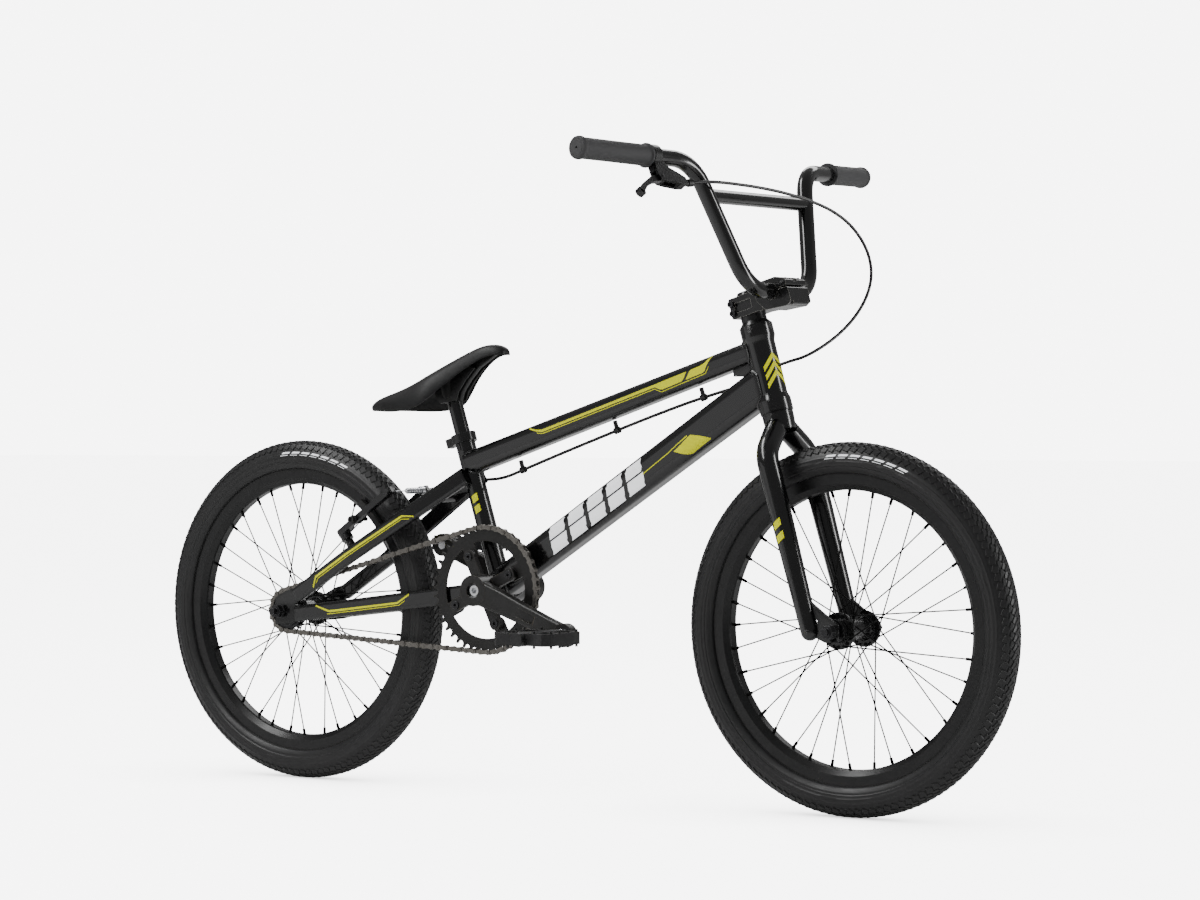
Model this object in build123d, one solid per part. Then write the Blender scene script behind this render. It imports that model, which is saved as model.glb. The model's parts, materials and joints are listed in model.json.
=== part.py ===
from build123d import *
import os
from math import asin, atan2, cos, degrees, hypot, pi, radians, sin, sqrt, tan

# A 20-inch BMX race bike. Millimetres. +X is forward, +Y is the rider's left and +Z is up.
# The origin is on the ground, half way between the wheel axles, in the bike's middle plane.

# ---- driving dimensions ------------------------------------------------------------------

wheelbase = 942.0
wheel_radius = 251.0            # ground to axle
running_gap = 0.3               # air between pieces that turn past each other
fit_gap = 0.05                  # radial clearance of shafts, pins and the seatpost
seat_gap = 0.2                  # air left between a tyre and its rim, or a bearing and its seat

# frame
head_angle = 74.0
head_tube_length = 122.7
head_tube_radius = 20.3
head_cup_radius = 22.8
head_cup_height = 17.0
head_flare = 7.0
head_tube_bore = 17.0
headset_bearing_radius = 20.9
bearing_height = 7.5
cable_port_station = 61.0     # height of the brake cable's hole in the head tube
seat_tube_angle = 72.4
seat_tube_length = 227.5        # bottom bracket axis to the tube's top
seat_tube_radius = 14.3
bracket_height = 291.0
bracket_shell_width = 68.0
bracket_shell_radius = 21.0
bracket_bore = 17.3
cup_flange = 2.5
top_tube_on_seat = 187.0        # where its axis meets the seat tube axis
top_tube_on_head = 90.0         # where its axis meets the head tube axis
top_tube_height = 33.5
top_tube_front_height = 29.5
top_tube_width = 33.0
down_tube_on_head = 43.5
down_tube_height = 45.0
down_tube_front_height = 51.0
down_tube_width = 44.0
down_tube_front_width = 38.0
tube_wall = 1.8
gusset_width = 14.0
gusset_reach = 27.0             # from the corner at the head tube, along the top tube
rear_hub_width = 110.0          # between the rear dropouts
front_hub_width = 100.0
dropout_thickness = 5.5
stay_width = 13.0
stay_wall = 1.4
seatstay_height = 22.5
seatstay_front_height = 25.0
chainstay_height = 22.5
chainstay_front_height = 28.0

# fork
fork_offset = 31.0
fork_length = 311.0             # head tube's lower end to the axle's height, along the steerer
steerer_radius = 14.3
steerer_bore = 12.3
fork_leg_spread = 54.5
fork_leg_radius = 15.0
fork_tip_radius = 12.2
fork_shoulder_drop = 48.0
fork_wall = 1.8

# cockpit
spacer_height = 8.0
headset_cover_height = 6.0
stem_height = 29.0
stem_reach = 50.0
stem_width = 38.0
stem_clamp_width = 52.0
bar_radius = 11.1
bar_half_width = 358.0
bar_station = 155.7             # bar centre above the head tube's lower end, along the steerer
bar_bottom_half = 79.0
bar_shoulder_half = 143.0
bar_rise = 171.0
bar_tilt = 16.0                 # rear lean of the raised part
bar_backsweep = 33.6
bar_upsweep = 6.0
bar_bend_radius = 55.0
crossbar_radius = 9.5
crossbar_rise = 125.0
bar_wall = 1.8
grip_length = 130.0
grip_radius = 14.6
grip_flange_radius = 16.6
lever_clamp_width = 13.0

# wheels
tyre_width = 49.0
tyre_casing = 2.6
tyre_tread = 4.6
inner_tube_wall = 1.2
rim_width = 30.0
rim_flange_radius = 209.0
bead_seat_radius = 203.0
bead_width = 3.4
rim_inner_radius = 187.0
rim_wall = 2.2
spoke_count = 36
spoke_crosses = 3
spoke_radius = 1.0
nipple_radius = 2.1
nipple_length = 12.0
front_flange_spacing = 66.0
rear_flange_spacing = 52.0
flange_radius = 25.0
flange_thickness = 3.4
spoke_circle_radius = 21.0
axle_radius = 5.0
bearing_radius = 13.0
bearing_width = 8.0
front_axle_length = 144.0
rear_axle_length = 158.0
nut_across_flats = 17.0
nut_height = 9.0

# drivetrain
chain_pitch = 12.7
chainring_teeth = 44
sprocket_teeth = 15
chain_links = 88
chain_line = 41.0               # chain's middle to the bike's middle plane
chain_inner_width = 3.4
chain_plate = 1.1
chain_plate_height = 8.2
chain_gap = 0.12
roller_radius = 3.85
pin_radius = 1.8
chainring_thickness = 2.6
ring_width = 15.0
bolt_circle = 104.0
crank_length = 175.0
crank_angle = -19.0             # right crank, from straight ahead
crank_outer_face = 73.0
crank_tip_face = 87.0
crank_boss_radius = 22.0
crank_tip_radius = 16.5
spindle_radius = 8.5
spindle_half_length = 58.0
pedal_start = 101.0
pedal_end = 190.0
pedal_half_length = 48.0
pedal_thickness = 17.0
pedal_axle_radius = 4.6

# brake
brake_station = 120.0           # along the seatstay
brake_spread = 43.5             # pivot to the middle plane
brake_stand_off = 38.0          # stay axis to the pivot plane
brake_arm_angle = 36.0
brake_arm_length = 103.0
brake_pivot_radius = 4.0
brake_pad_height = 33.0         # pad above the pivot, along the arm
pad_gap = 2.0
pad_thickness = 8.0
cable_radius = 2.3
wire_radius = 0.8
noodle_gap = 2.0                # between the housing's end and the pipe it feeds
clip_gap = 0.3                  # between the housing and a clip's bore

# seat
seatpost_radius = 11.1
seatpost_exposed = 58.0
seatpost_insertion = 95.0
saddle_length = 252.0
saddle_tilt = 19.5
saddle_width = 118.0
saddle_nose_width = 40.0

# ---- places worked out from them ---------------------------------------------------------

rear_axle = Vector(-wheelbase / 2, 0, wheel_radius)
front_axle = Vector(wheelbase / 2, 0, wheel_radius)
steer_up = Vector(-cos(radians(head_angle)), 0, sin(radians(head_angle)))
steer_out = Vector(sin(radians(head_angle)), 0, cos(radians(head_angle)))
left = Vector(0, 1, 0)
head_base = front_axle - steer_out * fork_offset + steer_up * fork_length


def pitch_radius(teeth):
    return chain_pitch / (2 * sin(pi / teeth))


def links_around(distance):
    """Links that reach round both sprockets at this centre distance."""
    lean = asin((pitch_radius(chainring_teeth) - pitch_radius(sprocket_teeth)) / distance)
    wrapped = (chainring_teeth * (pi + 2 * lean) + sprocket_teeth * (pi - 2 * lean)) / (2 * pi)
    return wrapped + 2 * distance * cos(lean) / chain_pitch


def chainstay_for(links):
    """The centre distance that a whole number of links fits, found by halving."""
    low, high = 200.0, 700.0
    for _ in range(50):
        middle = (low + high) / 2
        if links_around(middle) < links:
            low = middle
        else:
            high = middle
    return (low + high) / 2


chainstay_length = chainstay_for(chain_links)
bracket_drop = bracket_height - wheel_radius
bracket = rear_axle + Vector(sqrt(chainstay_length**2 - bracket_drop**2), 0, bracket_drop)
seat_up = Vector(-cos(radians(seat_tube_angle)), 0, sin(radians(seat_tube_angle)))


def on_head(station, out=0.0, side=0.0):
    """A point at a height up the steering axis, forward of it and to the left of it."""
    return head_base + steer_up * station + steer_out * out + left * side


def on_seat(station):
    return bracket + seat_up * station


# ---- shared shapes -----------------------------------------------------------------------


def facing(point, direction):
    """A plane across a direction, with its own X along +Y where that is possible."""
    way = Vector(direction).normalized()
    across = left if abs(way.dot(left)) < 0.99 else Vector(1, 0, 0)
    across = (across - way * across.dot(way)).normalized()
    return Plane(origin=point, x_dir=across, z_dir=way)


def rod(start, end, radius, end_radius=None):
    start, end = Vector(start), Vector(end)
    base = facing(start, end - start)
    length = (end - start).length
    low = (Align.CENTER, Align.CENTER, Align.MIN)
    if end_radius is None or abs(end_radius - radius) < 1e-6:
        return base * Cylinder(radius, length, align=low)
    return base * Cone(radius, end_radius, length, align=low)


def ring(start, end, radius, bore):
    """A round collar whose hole runs right through."""
    start, end = Vector(start), Vector(end)
    step = (end - start).normalized()
    return rod(start, end, radius) - rod(start - step, end + step, bore)


def hexagon(start, end, across_flats, bore=0.0):
    base = facing(start, Vector(end) - Vector(start))
    outline = RegularPolygon(across_flats / 2, 6, major_radius=False)
    nut = extrude(base * outline, (Vector(end) - Vector(start)).length)
    return nut - rod(start, end, bore) if bore else nut


def beam(start, end, size_start, size_end, corner=0.32):
    """A straight tube's outside: a rounded rectangle that changes size along the way."""
    faces = []
    for point, (width, height) in ((start, size_start), (end, size_end)):
        outline = RectangleRounded(width, height, min(width, height) * corner)
        faces.append(facing(point, Vector(end) - Vector(start)) * outline)
    return loft(faces)


def shrink(size, wall):
    return (size[0] - 2 * wall, size[1] - 2 * wall)


def hollow_beam(start, end, size_start, size_end, wall, corner=0.32):
    outside = beam(start, end, size_start, size_end, corner)
    step = (Vector(end) - Vector(start)).normalized()
    inside = beam(start - step, end + step, shrink(size_start, wall), shrink(size_end, wall), corner)
    return outside - inside


def bent_rod(points, radii, radius):
    """Straight runs joined by tangent arcs."""
    path = FilletPolyline(*points, radius=radii)
    start = facing(points[0], Vector(points[1]) - Vector(points[0]))
    return sweep(start * Circle(radius), path=path)


def cord_radii(points):
    """The largest arc that each corner of a cord's route has room for."""
    radii = []
    for before, here, after in zip(points, points[1:], points[2:]):
        first = Vector(here) - Vector(before)
        second = Vector(after) - Vector(here)
        turn = radians(first.get_angle(second))
        radii.append(0.45 * min(first.length, second.length) / tan(turn / 2))
    return radii


def wheel_plane(axle):
    """Local X is the wheel's radius and local Y its width."""
    return Plane(origin=axle, x_dir=(1, 0, 0), z_dir=(0, 0, 1))


def turned(axle, profile):
    """A wheel part made by turning its section about the axle."""
    return revolve(wheel_plane(axle) * profile, Axis(axle, left), 360)


def plate(plane, outline, thickness):
    """Cut an outline from plate that thick, on the side that its plane faces."""
    return extrude(plane * outline, thickness, dir=plane.z_dir)


def right_plane(centre, side):
    """A plane across the bike on its right-hand side: local X is +X and local Y is +Z."""
    return Plane(origin=(centre.X, -side, centre.Z), x_dir=(1, 0, 0), z_dir=(0, -1, 0))


def right_plate(outline, centre, inner, outer):
    """A plate on the right-hand side between two distances from the middle plane."""
    return plate(right_plane(centre, inner), outline, outer - inner)


def mirror_left(shape):
    return mirror(shape, about=Plane.XZ)


nodes = {}

# ---- frame -------------------------------------------------------------------------------


def head_outside():
    """The head tube's outer form: a straight middle that flares to a cup at each end."""
    top = head_tube_length
    form = rod(on_head(0), on_head(top), head_tube_radius)
    for end, way in ((0, 1), (top, -1)):
        form += rod(on_head(end), on_head(end + way * head_cup_height), head_cup_radius)
        form += rod(
            on_head(end + way * head_cup_height), on_head(end + way * (head_cup_height + head_flare)),
            head_cup_radius, head_tube_radius)
    return form


def make_head_tube():
    tube = head_outside() - rod(on_head(-1), on_head(head_tube_length + 1), head_tube_bore)
    for end, way in ((0, 1), (head_tube_length, -1)):
        seat_end = on_head(end + way * (bearing_height + seat_gap))
        tube -= rod(on_head(end - way), seat_end, headset_bearing_radius + seat_gap)
    port = on_head(cable_port_station)
    return tube - rod(port, port + steer_out * 40, cable_radius + 0.6)


def seat_outside():
    return rod(on_seat(-40), on_seat(seat_tube_length + 60), seat_tube_radius)


def bracket_outside():
    return rod(bracket + left * 80, bracket - left * 80, bracket_shell_radius)


top_tube_back = on_seat(top_tube_on_seat)
top_tube_front = on_head(top_tube_on_head)
down_tube_back = bracket + Vector(0, 0, 5)
down_tube_front = on_head(down_tube_on_head)


def make_top_tube():
    tube = hollow_beam(
        top_tube_back, top_tube_front, (top_tube_width, top_tube_height),
        (top_tube_width, top_tube_front_height), tube_wall)
    return tube - seat_outside() - head_outside()


# The brake housing under the top tube: from a port in the down tube to the noodle.
housing_route = [
    Vector(304, 4, 579.5), Vector(262, 4.5, 570), Vector(206, 5.5, 555), Vector(148, 6, 536.8),
    Vector(116, 6, 526.4), Vector(62, 6.5, 508.2), Vector(6, 6, 489.0), Vector(-48, 6.5, 470.2),
    Vector(-102, 9, 451.5), Vector(-129, 22, 447.5), Vector(-156, 36, 446), Vector(-186, 43, 445),
    Vector(-214, 51, 443.5), Vector(-240, 59, 440)]


def make_down_tube():
    tube = hollow_beam(
        down_tube_back, down_tube_front, (down_tube_width, down_tube_height),
        (down_tube_front_width, down_tube_front_height), tube_wall)
    port = rod(housing_route[0], housing_route[1], cable_radius + 0.5)
    return tube - bracket_outside() - seat_outside() - head_outside() - port


def make_seat_tube():
    tube = ring(on_seat(0), on_seat(seat_tube_length), seat_tube_radius, seatpost_radius + fit_gap)
    slot = Box(1.6, 30, 40)
    slot = facing(on_seat(seat_tube_length), seat_up) * Rot(0, 0, 90) * Pos(0, 15, 0) * slot
    return tube - bracket_outside() - slot


def make_bracket_shell():
    half = bracket_shell_width / 2
    return ring(bracket - left * half, bracket + left * half, bracket_shell_radius, bracket_bore)


# The seatstays run beside the chain and then close in on the seat tube; the chainstays are straight.
stay_rear_spread = rear_hub_width / 2 + 2.5
seatstay_rear = rear_axle + Vector(30, 0, 23)
seatstay_top = on_seat(169)
seatstay_knee = seatstay_rear + (seatstay_top - seatstay_rear) * 0.345
seatstay_knee_spread = 54.0
seatstay_top_spread = 20.0
chainstay_rear = rear_axle + Vector(30, 0, -3.5)
chainstay_front = bracket + Vector(-6, 0, -3)
chainstay_front_spread = 23.5


def stay_form(places, wall=0.0):
    """The right-hand stay through its axis points, each with a height, less a wall all round."""
    faces = []
    for index, (point, spread, height) in enumerate(places):
        before = places[max(index - 1, 0)]
        after = places[min(index + 1, len(places) - 1)]
        way = (after[0] - left * after[1]) - (before[0] - left * before[1])
        size = shrink((stay_width, height), wall)
        outline = RectangleRounded(*size, size[0] * 0.36)
        faces.append(facing(point - left * spread, way) * outline)
    return loft(faces, ruled=True)


def longer(places, step):
    """The same stay with both ends moved out, so that its bore runs right through."""
    first, second, last, before = places[0], places[1], places[-1], places[-2]
    back = (first[0] - second[0]).normalized() * step
    ahead = (last[0] - before[0]).normalized() * step
    return [(first[0] + back, *first[1:])] + places[1:-1] + [(last[0] + ahead, *last[1:])]


seatstay_places = [
    (seatstay_rear, stay_rear_spread, seatstay_height),
    (seatstay_knee, seatstay_knee_spread, seatstay_height),
    (seatstay_top, seatstay_top_spread, seatstay_front_height)]
chainstay_places = [
    (chainstay_rear, stay_rear_spread, chainstay_height),
    (chainstay_front, chainstay_front_spread, chainstay_front_height)]


def make_seatstay():
    bore = stay_form(longer(seatstay_places, 1), stay_wall)
    return stay_form(seatstay_places) - bore - seat_outside()


def make_chainstay():
    bore = stay_form(longer(chainstay_places, 1), stay_wall)
    return stay_form(chainstay_places) - bore - bracket_outside()


def make_dropout():
    """The right rear dropout: a plate with a slot that opens to the rear."""
    inner = rear_hub_width / 2
    web = Polygon(
        (-8, 20), (12, 30), (40, 38), (46, 24), (30, 14), (30, 10), (44, 8), (46, -12), (24, -17),
        (-8, -20), align=None)
    outline = fillet(web.vertices(), 2.5) + Pos(-1, 0) * RectangleRounded(40, 42, 13)
    outline -= SlotOverall(44, 2 * (axle_radius + fit_gap)).moved(Location((-16.5, 0)))
    return right_plate(outline, rear_axle, inner, inner + dropout_thickness)


def stay_cut():
    """What other pieces of the frame give up to the right-hand stays."""
    return stay_form(seatstay_places) + stay_form(chainstay_places)


brake_along = Vector(cos(radians(brake_arm_angle)), 0, sin(radians(brake_arm_angle)))
brake_axis = Vector(-sin(radians(brake_arm_angle)), 0, cos(radians(brake_arm_angle)))


def make_brake_seat():
    """The brake pivot's root on the right seatstay's axis, towards the stay's inner side."""
    way = (seatstay_top - seatstay_rear).normalized()
    return seatstay_rear + way * brake_station - left * brake_spread


brake_root = make_brake_seat()
brake_pivot = brake_root + brake_axis * brake_stand_off


def make_brake_boss():
    post = rod(brake_root, brake_pivot + brake_axis * 6, brake_pivot_radius)
    post += rod(brake_root, brake_root + brake_axis * 22, 6.5)
    return post - stay_cut()


def make_bridges():
    """Short cross tubes that tie the left and right stays together, clear of the tyre."""
    way = (seatstay_top - seatstay_rear).normalized()
    length = (seatstay_top - seatstay_rear).length
    upper = seatstay_rear + way * (length - 62)
    forward = (chainstay_front - chainstay_rear).normalized()
    lower = chainstay_front - forward * 62
    cross = []
    for place, radius in ((upper, 7.0), (lower, 7.0)):
        cross.append(rod(place - left * 45, place + left * 45, radius) - stay_solids)
    return [piece for bar in cross for piece in keep_middle(bar)]


def keep_middle(shape):
    return [s for s in shape.solids() if abs(s.center().Y) < 1.0]


def top_tube_outside():
    return beam(
        top_tube_back, top_tube_front, (top_tube_width, top_tube_height),
        (top_tube_width, top_tube_front_height))


def down_tube_outside():
    return beam(
        down_tube_back, down_tube_front, (down_tube_width, down_tube_height),
        (down_tube_front_width, down_tube_front_height))


def make_head_gusset():
    """A folded plate in the corner between the top tube, the down tube and the head tube."""
    corner = on_head(down_tube_on_head + down_tube_front_height / 2 + 3, -head_tube_radius - 2)
    outline = Polygon(
        (corner.X + 6, corner.Z - 14), (corner.X, corner.Z + 18),
        (corner.X - gusset_reach, corner.Z + 10), (corner.X - gusset_reach + 3, corner.Z - 14), align=None)
    sheet = extrude(Plane.XZ * outline, gusset_width / 2, both=True)
    sheet = sheet - head_outside() - top_tube_outside() - down_tube_outside()
    return max(sheet.solids(), key=lambda s: s.volume)


def make_seat_clamp():
    """A split collar round the seat tube's top, with ears and a bolt at the rear."""
    low, high = on_seat(seat_tube_length - 9), on_seat(seat_tube_length + 4)
    back = Vector(-sin(radians(seat_tube_angle)), 0, -cos(radians(seat_tube_angle)))
    collar = rod(low, high, seat_tube_radius + 3.8)
    middle = (low + high) / 2
    ear_plane = Plane(origin=middle + back * (seat_tube_radius + 6), x_dir=back, z_dir=seat_up)
    collar += ear_plane * Box(16, 14, (high - low).length)
    collar -= rod(low - seat_up, on_seat(seat_tube_length), seat_tube_radius + fit_gap)
    collar -= rod(low, high + seat_up, seatpost_radius + 2 * fit_gap)
    collar -= Plane(origin=middle + back * 20, x_dir=back, z_dir=seat_up) * Box(24, 1.8, 20)
    bolt_at = middle + back * (seat_tube_radius + 8.5)
    collar -= rod(bolt_at - left * 12, bolt_at + left * 12, 2.6)
    bolt = rod(bolt_at - left * 7.4, bolt_at + left * 12, 2.4)
    bolt += rod(bolt_at + left * 7.2, bolt_at + left * 12, 4.2)
    bolt -= hexagon(bolt_at + left * 9, bolt_at + left * 13, 4.0)
    return collar, bolt


def make_headset_bearings():
    rings = []
    for end, way in ((0, 1), (head_tube_length, -1)):
        near, far = on_head(end), on_head(end + way * bearing_height)
        rings.append(ring(near, far, headset_bearing_radius, steerer_radius + 2 * fit_gap))
    return rings


def make_bracket_cups():
    cups = []
    for way in (-1, 1):
        inner = bracket + left * way * (bracket_shell_width / 2 - 16)
        face = bracket + left * way * bracket_shell_width / 2
        outer = face + left * way * cup_flange
        cup = ring(inner, face, bracket_bore - fit_gap, spindle_radius + 2 * fit_gap)
        cup += ring(face, outer, bracket_shell_radius - 1.5, spindle_radius + 2 * fit_gap)
        cups.append(cup)
    return cups


clip_runs = (1, 4, 7)


def make_cable_clips():
    """Three guides that hang under the top tube and hold the housing."""
    clips = []
    axis = (top_tube_front - top_tube_back).normalized()
    under = Vector(axis.Z, 0, -axis.X)
    for place in clip_places:
        stem = rod(place - under * 0.5, place - under * 14, 3.2)
        loop = ring(place - axis * 4, place + axis * 4, cable_radius + 2.4, cable_radius + clip_gap)
        clip = (stem + loop) - rod(place - axis * 12, place + axis * 12, cable_radius + clip_gap)
        clip -= top_tube_outside()
        clips.append(max(clip.solids(), key=lambda s: s.volume))
    return clips


def midpoint(points, index):
    return (points[index] + points[index + 1]) / 2


clip_places = [midpoint(housing_route, index) for index in clip_runs]

# ---- wheels ------------------------------------------------------------------------------


def make_tyre(axle):
    """An open casing with a thicker tread, whose beads sit inside the rim's flanges."""
    half = tyre_width / 2
    centre = wheel_radius - half
    outline = Pos(centre, 0) * Circle(half)
    hollow = Ellipse(half - (tyre_tread + tyre_casing) / 2, half - tyre_casing)
    inside = Pos(centre - (tyre_tread - tyre_casing) / 2, 0) * hollow
    flange_inner = rim_width / 2 - rim_wall
    outline -= inside
    outline -= Pos(rim_flange_radius + seat_gap - 10, 0) * Rectangle(20, 2 * (flange_inner - 4))
    top = rim_flange_radius + seat_gap
    bead = flange_inner - seat_gap
    for way in (-1, 1):
        outline -= Pos(top - 10, way * (bead + 10)) * Rectangle(20, 20)
        corners = [
            (bead_seat_radius + seat_gap, bead - bead_width), (top + 3.4, bead - bead_width),
            (top + 3.4, bead + 5.4), (top, bead + 4.6), (top, bead), (bead_seat_radius + seat_gap, bead)]
        if way < 0:
            corners = [(radius, -y) for radius, y in reversed(corners)]
        outline += Polygon(*corners, align=None)
    outline -= Pos(bead_seat_radius + seat_gap - 20, 0) * Rectangle(40, 60)
    return turned(axle, outline)


def make_inner_tube(axle):
    """The air tube, which fills the casing down to the rim's bed."""
    half = tyre_width / 2 - tyre_casing - 1.4
    centre = wheel_radius - tyre_width / 2 - 1.2
    outline = Pos(centre, 0) * Circle(half)
    width = rim_width / 2 - rim_wall - bead_width - 1.0
    for way in (-1, 1):
        outline -= Pos(rim_flange_radius - 8, way * (width + 10)) * Rectangle(28, 20)
    outline -= Pos(bead_seat_radius + 1 - 20, 0) * Rectangle(40, 60)
    hole = offset(outline, -inner_tube_wall)
    return turned(axle, outline - hole)


def rim_section():
    half = rim_width / 2
    outline = Polygon(
        (rim_flange_radius, half), (rim_flange_radius - 14, half), (rim_inner_radius + 1, half - 6.5),
        (rim_inner_radius, half - 9), (rim_inner_radius, 9 - half), (rim_inner_radius + 1, 6.5 - half),
        (rim_flange_radius - 14, -half), (rim_flange_radius, -half), (rim_flange_radius, rim_wall - half),
        (bead_seat_radius, rim_wall - half), (bead_seat_radius - 3, rim_wall + 4 - half),
        (bead_seat_radius - 3, half - rim_wall - 4), (bead_seat_radius, half - rim_wall),
        (rim_flange_radius, half - rim_wall), align=None)
    cavity = Polygon(
        (bead_seat_radius - 5.5, half - rim_wall - 2), (rim_flange_radius - 13, half - rim_wall),
        (rim_inner_radius + 3, half - 9), (rim_inner_radius + 3, 9 - half),
        (rim_flange_radius - 13, rim_wall - half), (bead_seat_radius - 5.5, rim_wall + 2 - half), align=None)
    return outline - cavity


def spoke_line(axle, flange_spacing, index):
    """A spoke's elbow at the hub and its end in the rim: crossed, and alternating side to side."""
    per_side = spoke_count // 2
    side = 1 if index < per_side else -1
    hole = index % per_side
    step = 360 / per_side
    start = step * hole + (step / 2 if side < 0 else 0)
    leading = 1 if hole % 2 == 0 else -1
    finish = start + leading * spoke_crosses * step
    seat = side * (flange_spacing / 2 + leading * (flange_thickness / 2 + spoke_radius + 0.2))

    def at(radius, angle, y):
        return axle + Vector(radius * cos(radians(angle)), y, radius * sin(radians(angle)))

    elbow = at(spoke_circle_radius, start, seat)
    head_side = flange_spacing / 2 - leading * (flange_thickness / 2 + 2.0)
    head = at(spoke_circle_radius, start, side * head_side)
    end = at(rim_inner_radius + 3.5, finish, side * 2.5)
    return head, elbow, end


def spoke_lines(axle, flange_spacing):
    return [spoke_line(axle, flange_spacing, index) for index in range(spoke_count)]


def make_rim(axle, lines):
    rim = turned(axle, rim_section())
    holes = []
    for head, elbow, end in lines:
        way = (end - elbow).normalized()
        holes.append(rod(end - way * 12, end + way * 1.5, nipple_radius + 0.15))
    return rim - holes


def make_spokes(lines):
    """Each spoke has a head, an elbow through its flange and a nipple at the rim."""
    pieces = []
    for head, elbow, end in lines:
        way = (end - elbow).normalized()
        thread = end - way * nipple_length
        spoke = rod(head, elbow, spoke_radius) + rod(elbow, thread, spoke_radius)
        spoke += Pos(*elbow) * Sphere(spoke_radius + 0.08)
        spoke += rod(head, head + (elbow - head).normalized() * 0.9, 2 * spoke_radius)
        spoke += rod(thread, end, nipple_radius)
        pieces.append(spoke)
    return pieces


def make_hub(axle, hub_width, flange_spacing, lines):
    """A turned shell with two flanges and a cartridge bearing in each end."""
    half = hub_width / 2 - 3.0
    flange = flange_spacing / 2
    thick = flange_thickness / 2
    shell_end = half - seat_gap
    outline = Polygon(
        (0, -shell_end), (16.2, -shell_end), (16.2, -flange - thick), (flange_radius, -flange - thick),
        (flange_radius, -flange + thick), (16.5, -flange + thick + 1), (14.2, -flange + thick + 6),
        (14.2, flange - thick - 6), (16.5, flange - thick - 1), (flange_radius, flange - thick),
        (flange_radius, flange + thick), (16.2, flange + thick), (16.2, shell_end), (0, shell_end),
        align=None)
    shell = turned(axle, outline)
    shell -= rod(axle - left * 80, axle + left * 80, axle_radius + 2.0)
    bearings = []
    for way in (-1, 1):
        outer = axle + left * way * shell_end
        inner = outer - left * way * bearing_width
        shell -= rod(inner, outer + left * way, bearing_radius)
        bearings.append(ring(inner, outer, bearing_radius - fit_gap, axle_radius + fit_gap))
    holes = []
    for head, elbow, end in lines:
        holes.append(rod(head - (elbow - head), elbow + (elbow - head), spoke_radius + 0.15))
        holes.append(rod(elbow, elbow + (end - elbow).normalized() * 22, spoke_radius + 0.15))
    return [shell - holes] + bearings


def make_axle(axle, hub_width, length, plate):
    """A threaded axle with its inner locknuts, washers and outer nuts."""
    half = hub_width / 2
    pieces = [rod(axle - left * length / 2, axle + left * length / 2, axle_radius)]
    for way in (-1, 1):
        inner = axle + left * way * (half - 3.0 + seat_gap)
        pieces.append(ring(inner, axle + left * way * half, axle_radius + 4.0, axle_radius))
        washer = axle + left * way * (half + plate)
        nut = washer + left * way * 1.5
        pieces.append(ring(washer, nut, 10.0, axle_radius))
        pieces.append(hexagon(nut, nut + left * way * nut_height, nut_across_flats, axle_radius))
    return pieces


# ---- drivetrain --------------------------------------------------------------------------

ring_radius = pitch_radius(chainring_teeth)
sprocket_radius = pitch_radius(sprocket_teeth)
chain_lean = asin((ring_radius - sprocket_radius) / chainstay_length)
chain_slope = atan2(bracket_drop, bracket.X - rear_axle.X)
chain_side = -chain_line


def chain_point(travel):
    """The chain's middle at a distance, in links, round its loop, starting at the top of the ring."""
    front_wrap = chainring_teeth * (pi + 2 * chain_lean) / (2 * pi)
    rear_wrap = sprocket_teeth * (pi - 2 * chain_lean) / (2 * pi)
    straight = chainstay_length * cos(chain_lean) / chain_pitch
    upper = pi / 2 + chain_lean + chain_slope
    lower = chain_slope - pi / 2 - chain_lean

    def on(centre, radius, angle):
        return Vector(centre.X + radius * cos(angle), chain_side, centre.Z + radius * sin(angle))

    travel = travel % chain_links
    if travel < front_wrap:
        return on(bracket, ring_radius, upper - travel * 2 * pi / chainring_teeth)
    travel -= front_wrap
    if travel < straight:
        start, end = on(bracket, ring_radius, lower), on(rear_axle, sprocket_radius, lower)
        return start + (end - start) * (travel / straight)
    travel -= straight
    if travel < rear_wrap:
        return on(rear_axle, sprocket_radius, lower - travel * 2 * pi / sprocket_teeth)
    travel -= rear_wrap
    start, end = on(rear_axle, sprocket_radius, upper), on(bracket, ring_radius, upper)
    return start + (end - start) * min(travel / straight, 1.0)


chain_pins = [chain_point(index + 0.5) for index in range(chain_links)]


def chain_link(outer):
    """One link lying along +X between its pins, drawn about its middle."""
    inner_face = chain_inner_width / 2 + (chain_plate + chain_gap if outer else 0)
    waist = chain_plate_height * 1.9
    side_bar = SlotCenterToCenter(chain_pitch, chain_plate_height)
    for way in (-1, 1):
        side_bar -= Pos(0, way * (waist + chain_plate_height * 0.33)) * Circle(waist)
    if not outer:
        for way in (-1, 1):
            side_bar -= Pos(way * chain_pitch / 2, 0) * Circle(pin_radius + chain_gap)
    link = Part()
    for way in (-1, 1):
        start = inner_face if way > 0 else -inner_face - chain_plate
        link += right_plate(side_bar, Vector(0, 0, 0), -start - chain_plate, -start)
    for way in (-1, 1):
        centre = Vector(way * chain_pitch / 2, 0, 0)
        if outer:
            reach = inner_face + chain_plate + 0.5
            link += rod(centre - left * reach, centre + left * reach, pin_radius)
        else:
            near, far = centre - left * inner_face, centre + left * inner_face
            link += ring(near, far, roller_radius, pin_radius + chain_gap)
    return link


def make_chain():
    shapes = (chain_link(False), chain_link(True))
    links = []
    for index in range(chain_links):
        start, end = chain_pins[index], chain_pins[(index + 1) % chain_links]
        middle = (start + end) / 2
        angle = degrees(atan2(end.Z - start.Z, end.X - start.X))
        links.append(shapes[index % 2].moved(Location(middle, (0, -angle, 0))))
    return links


def tooth_phase(centre, teeth):
    """The angle of the gap that the nearest roller fills, so that the teeth stand between rollers."""
    reach = hypot(pitch_radius(teeth), chain_line)
    near = min(chain_pins, key=lambda pin: abs((pin - centre).length - reach))
    return degrees(atan2(near.Z - centre.Z, near.X - centre.X))


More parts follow.
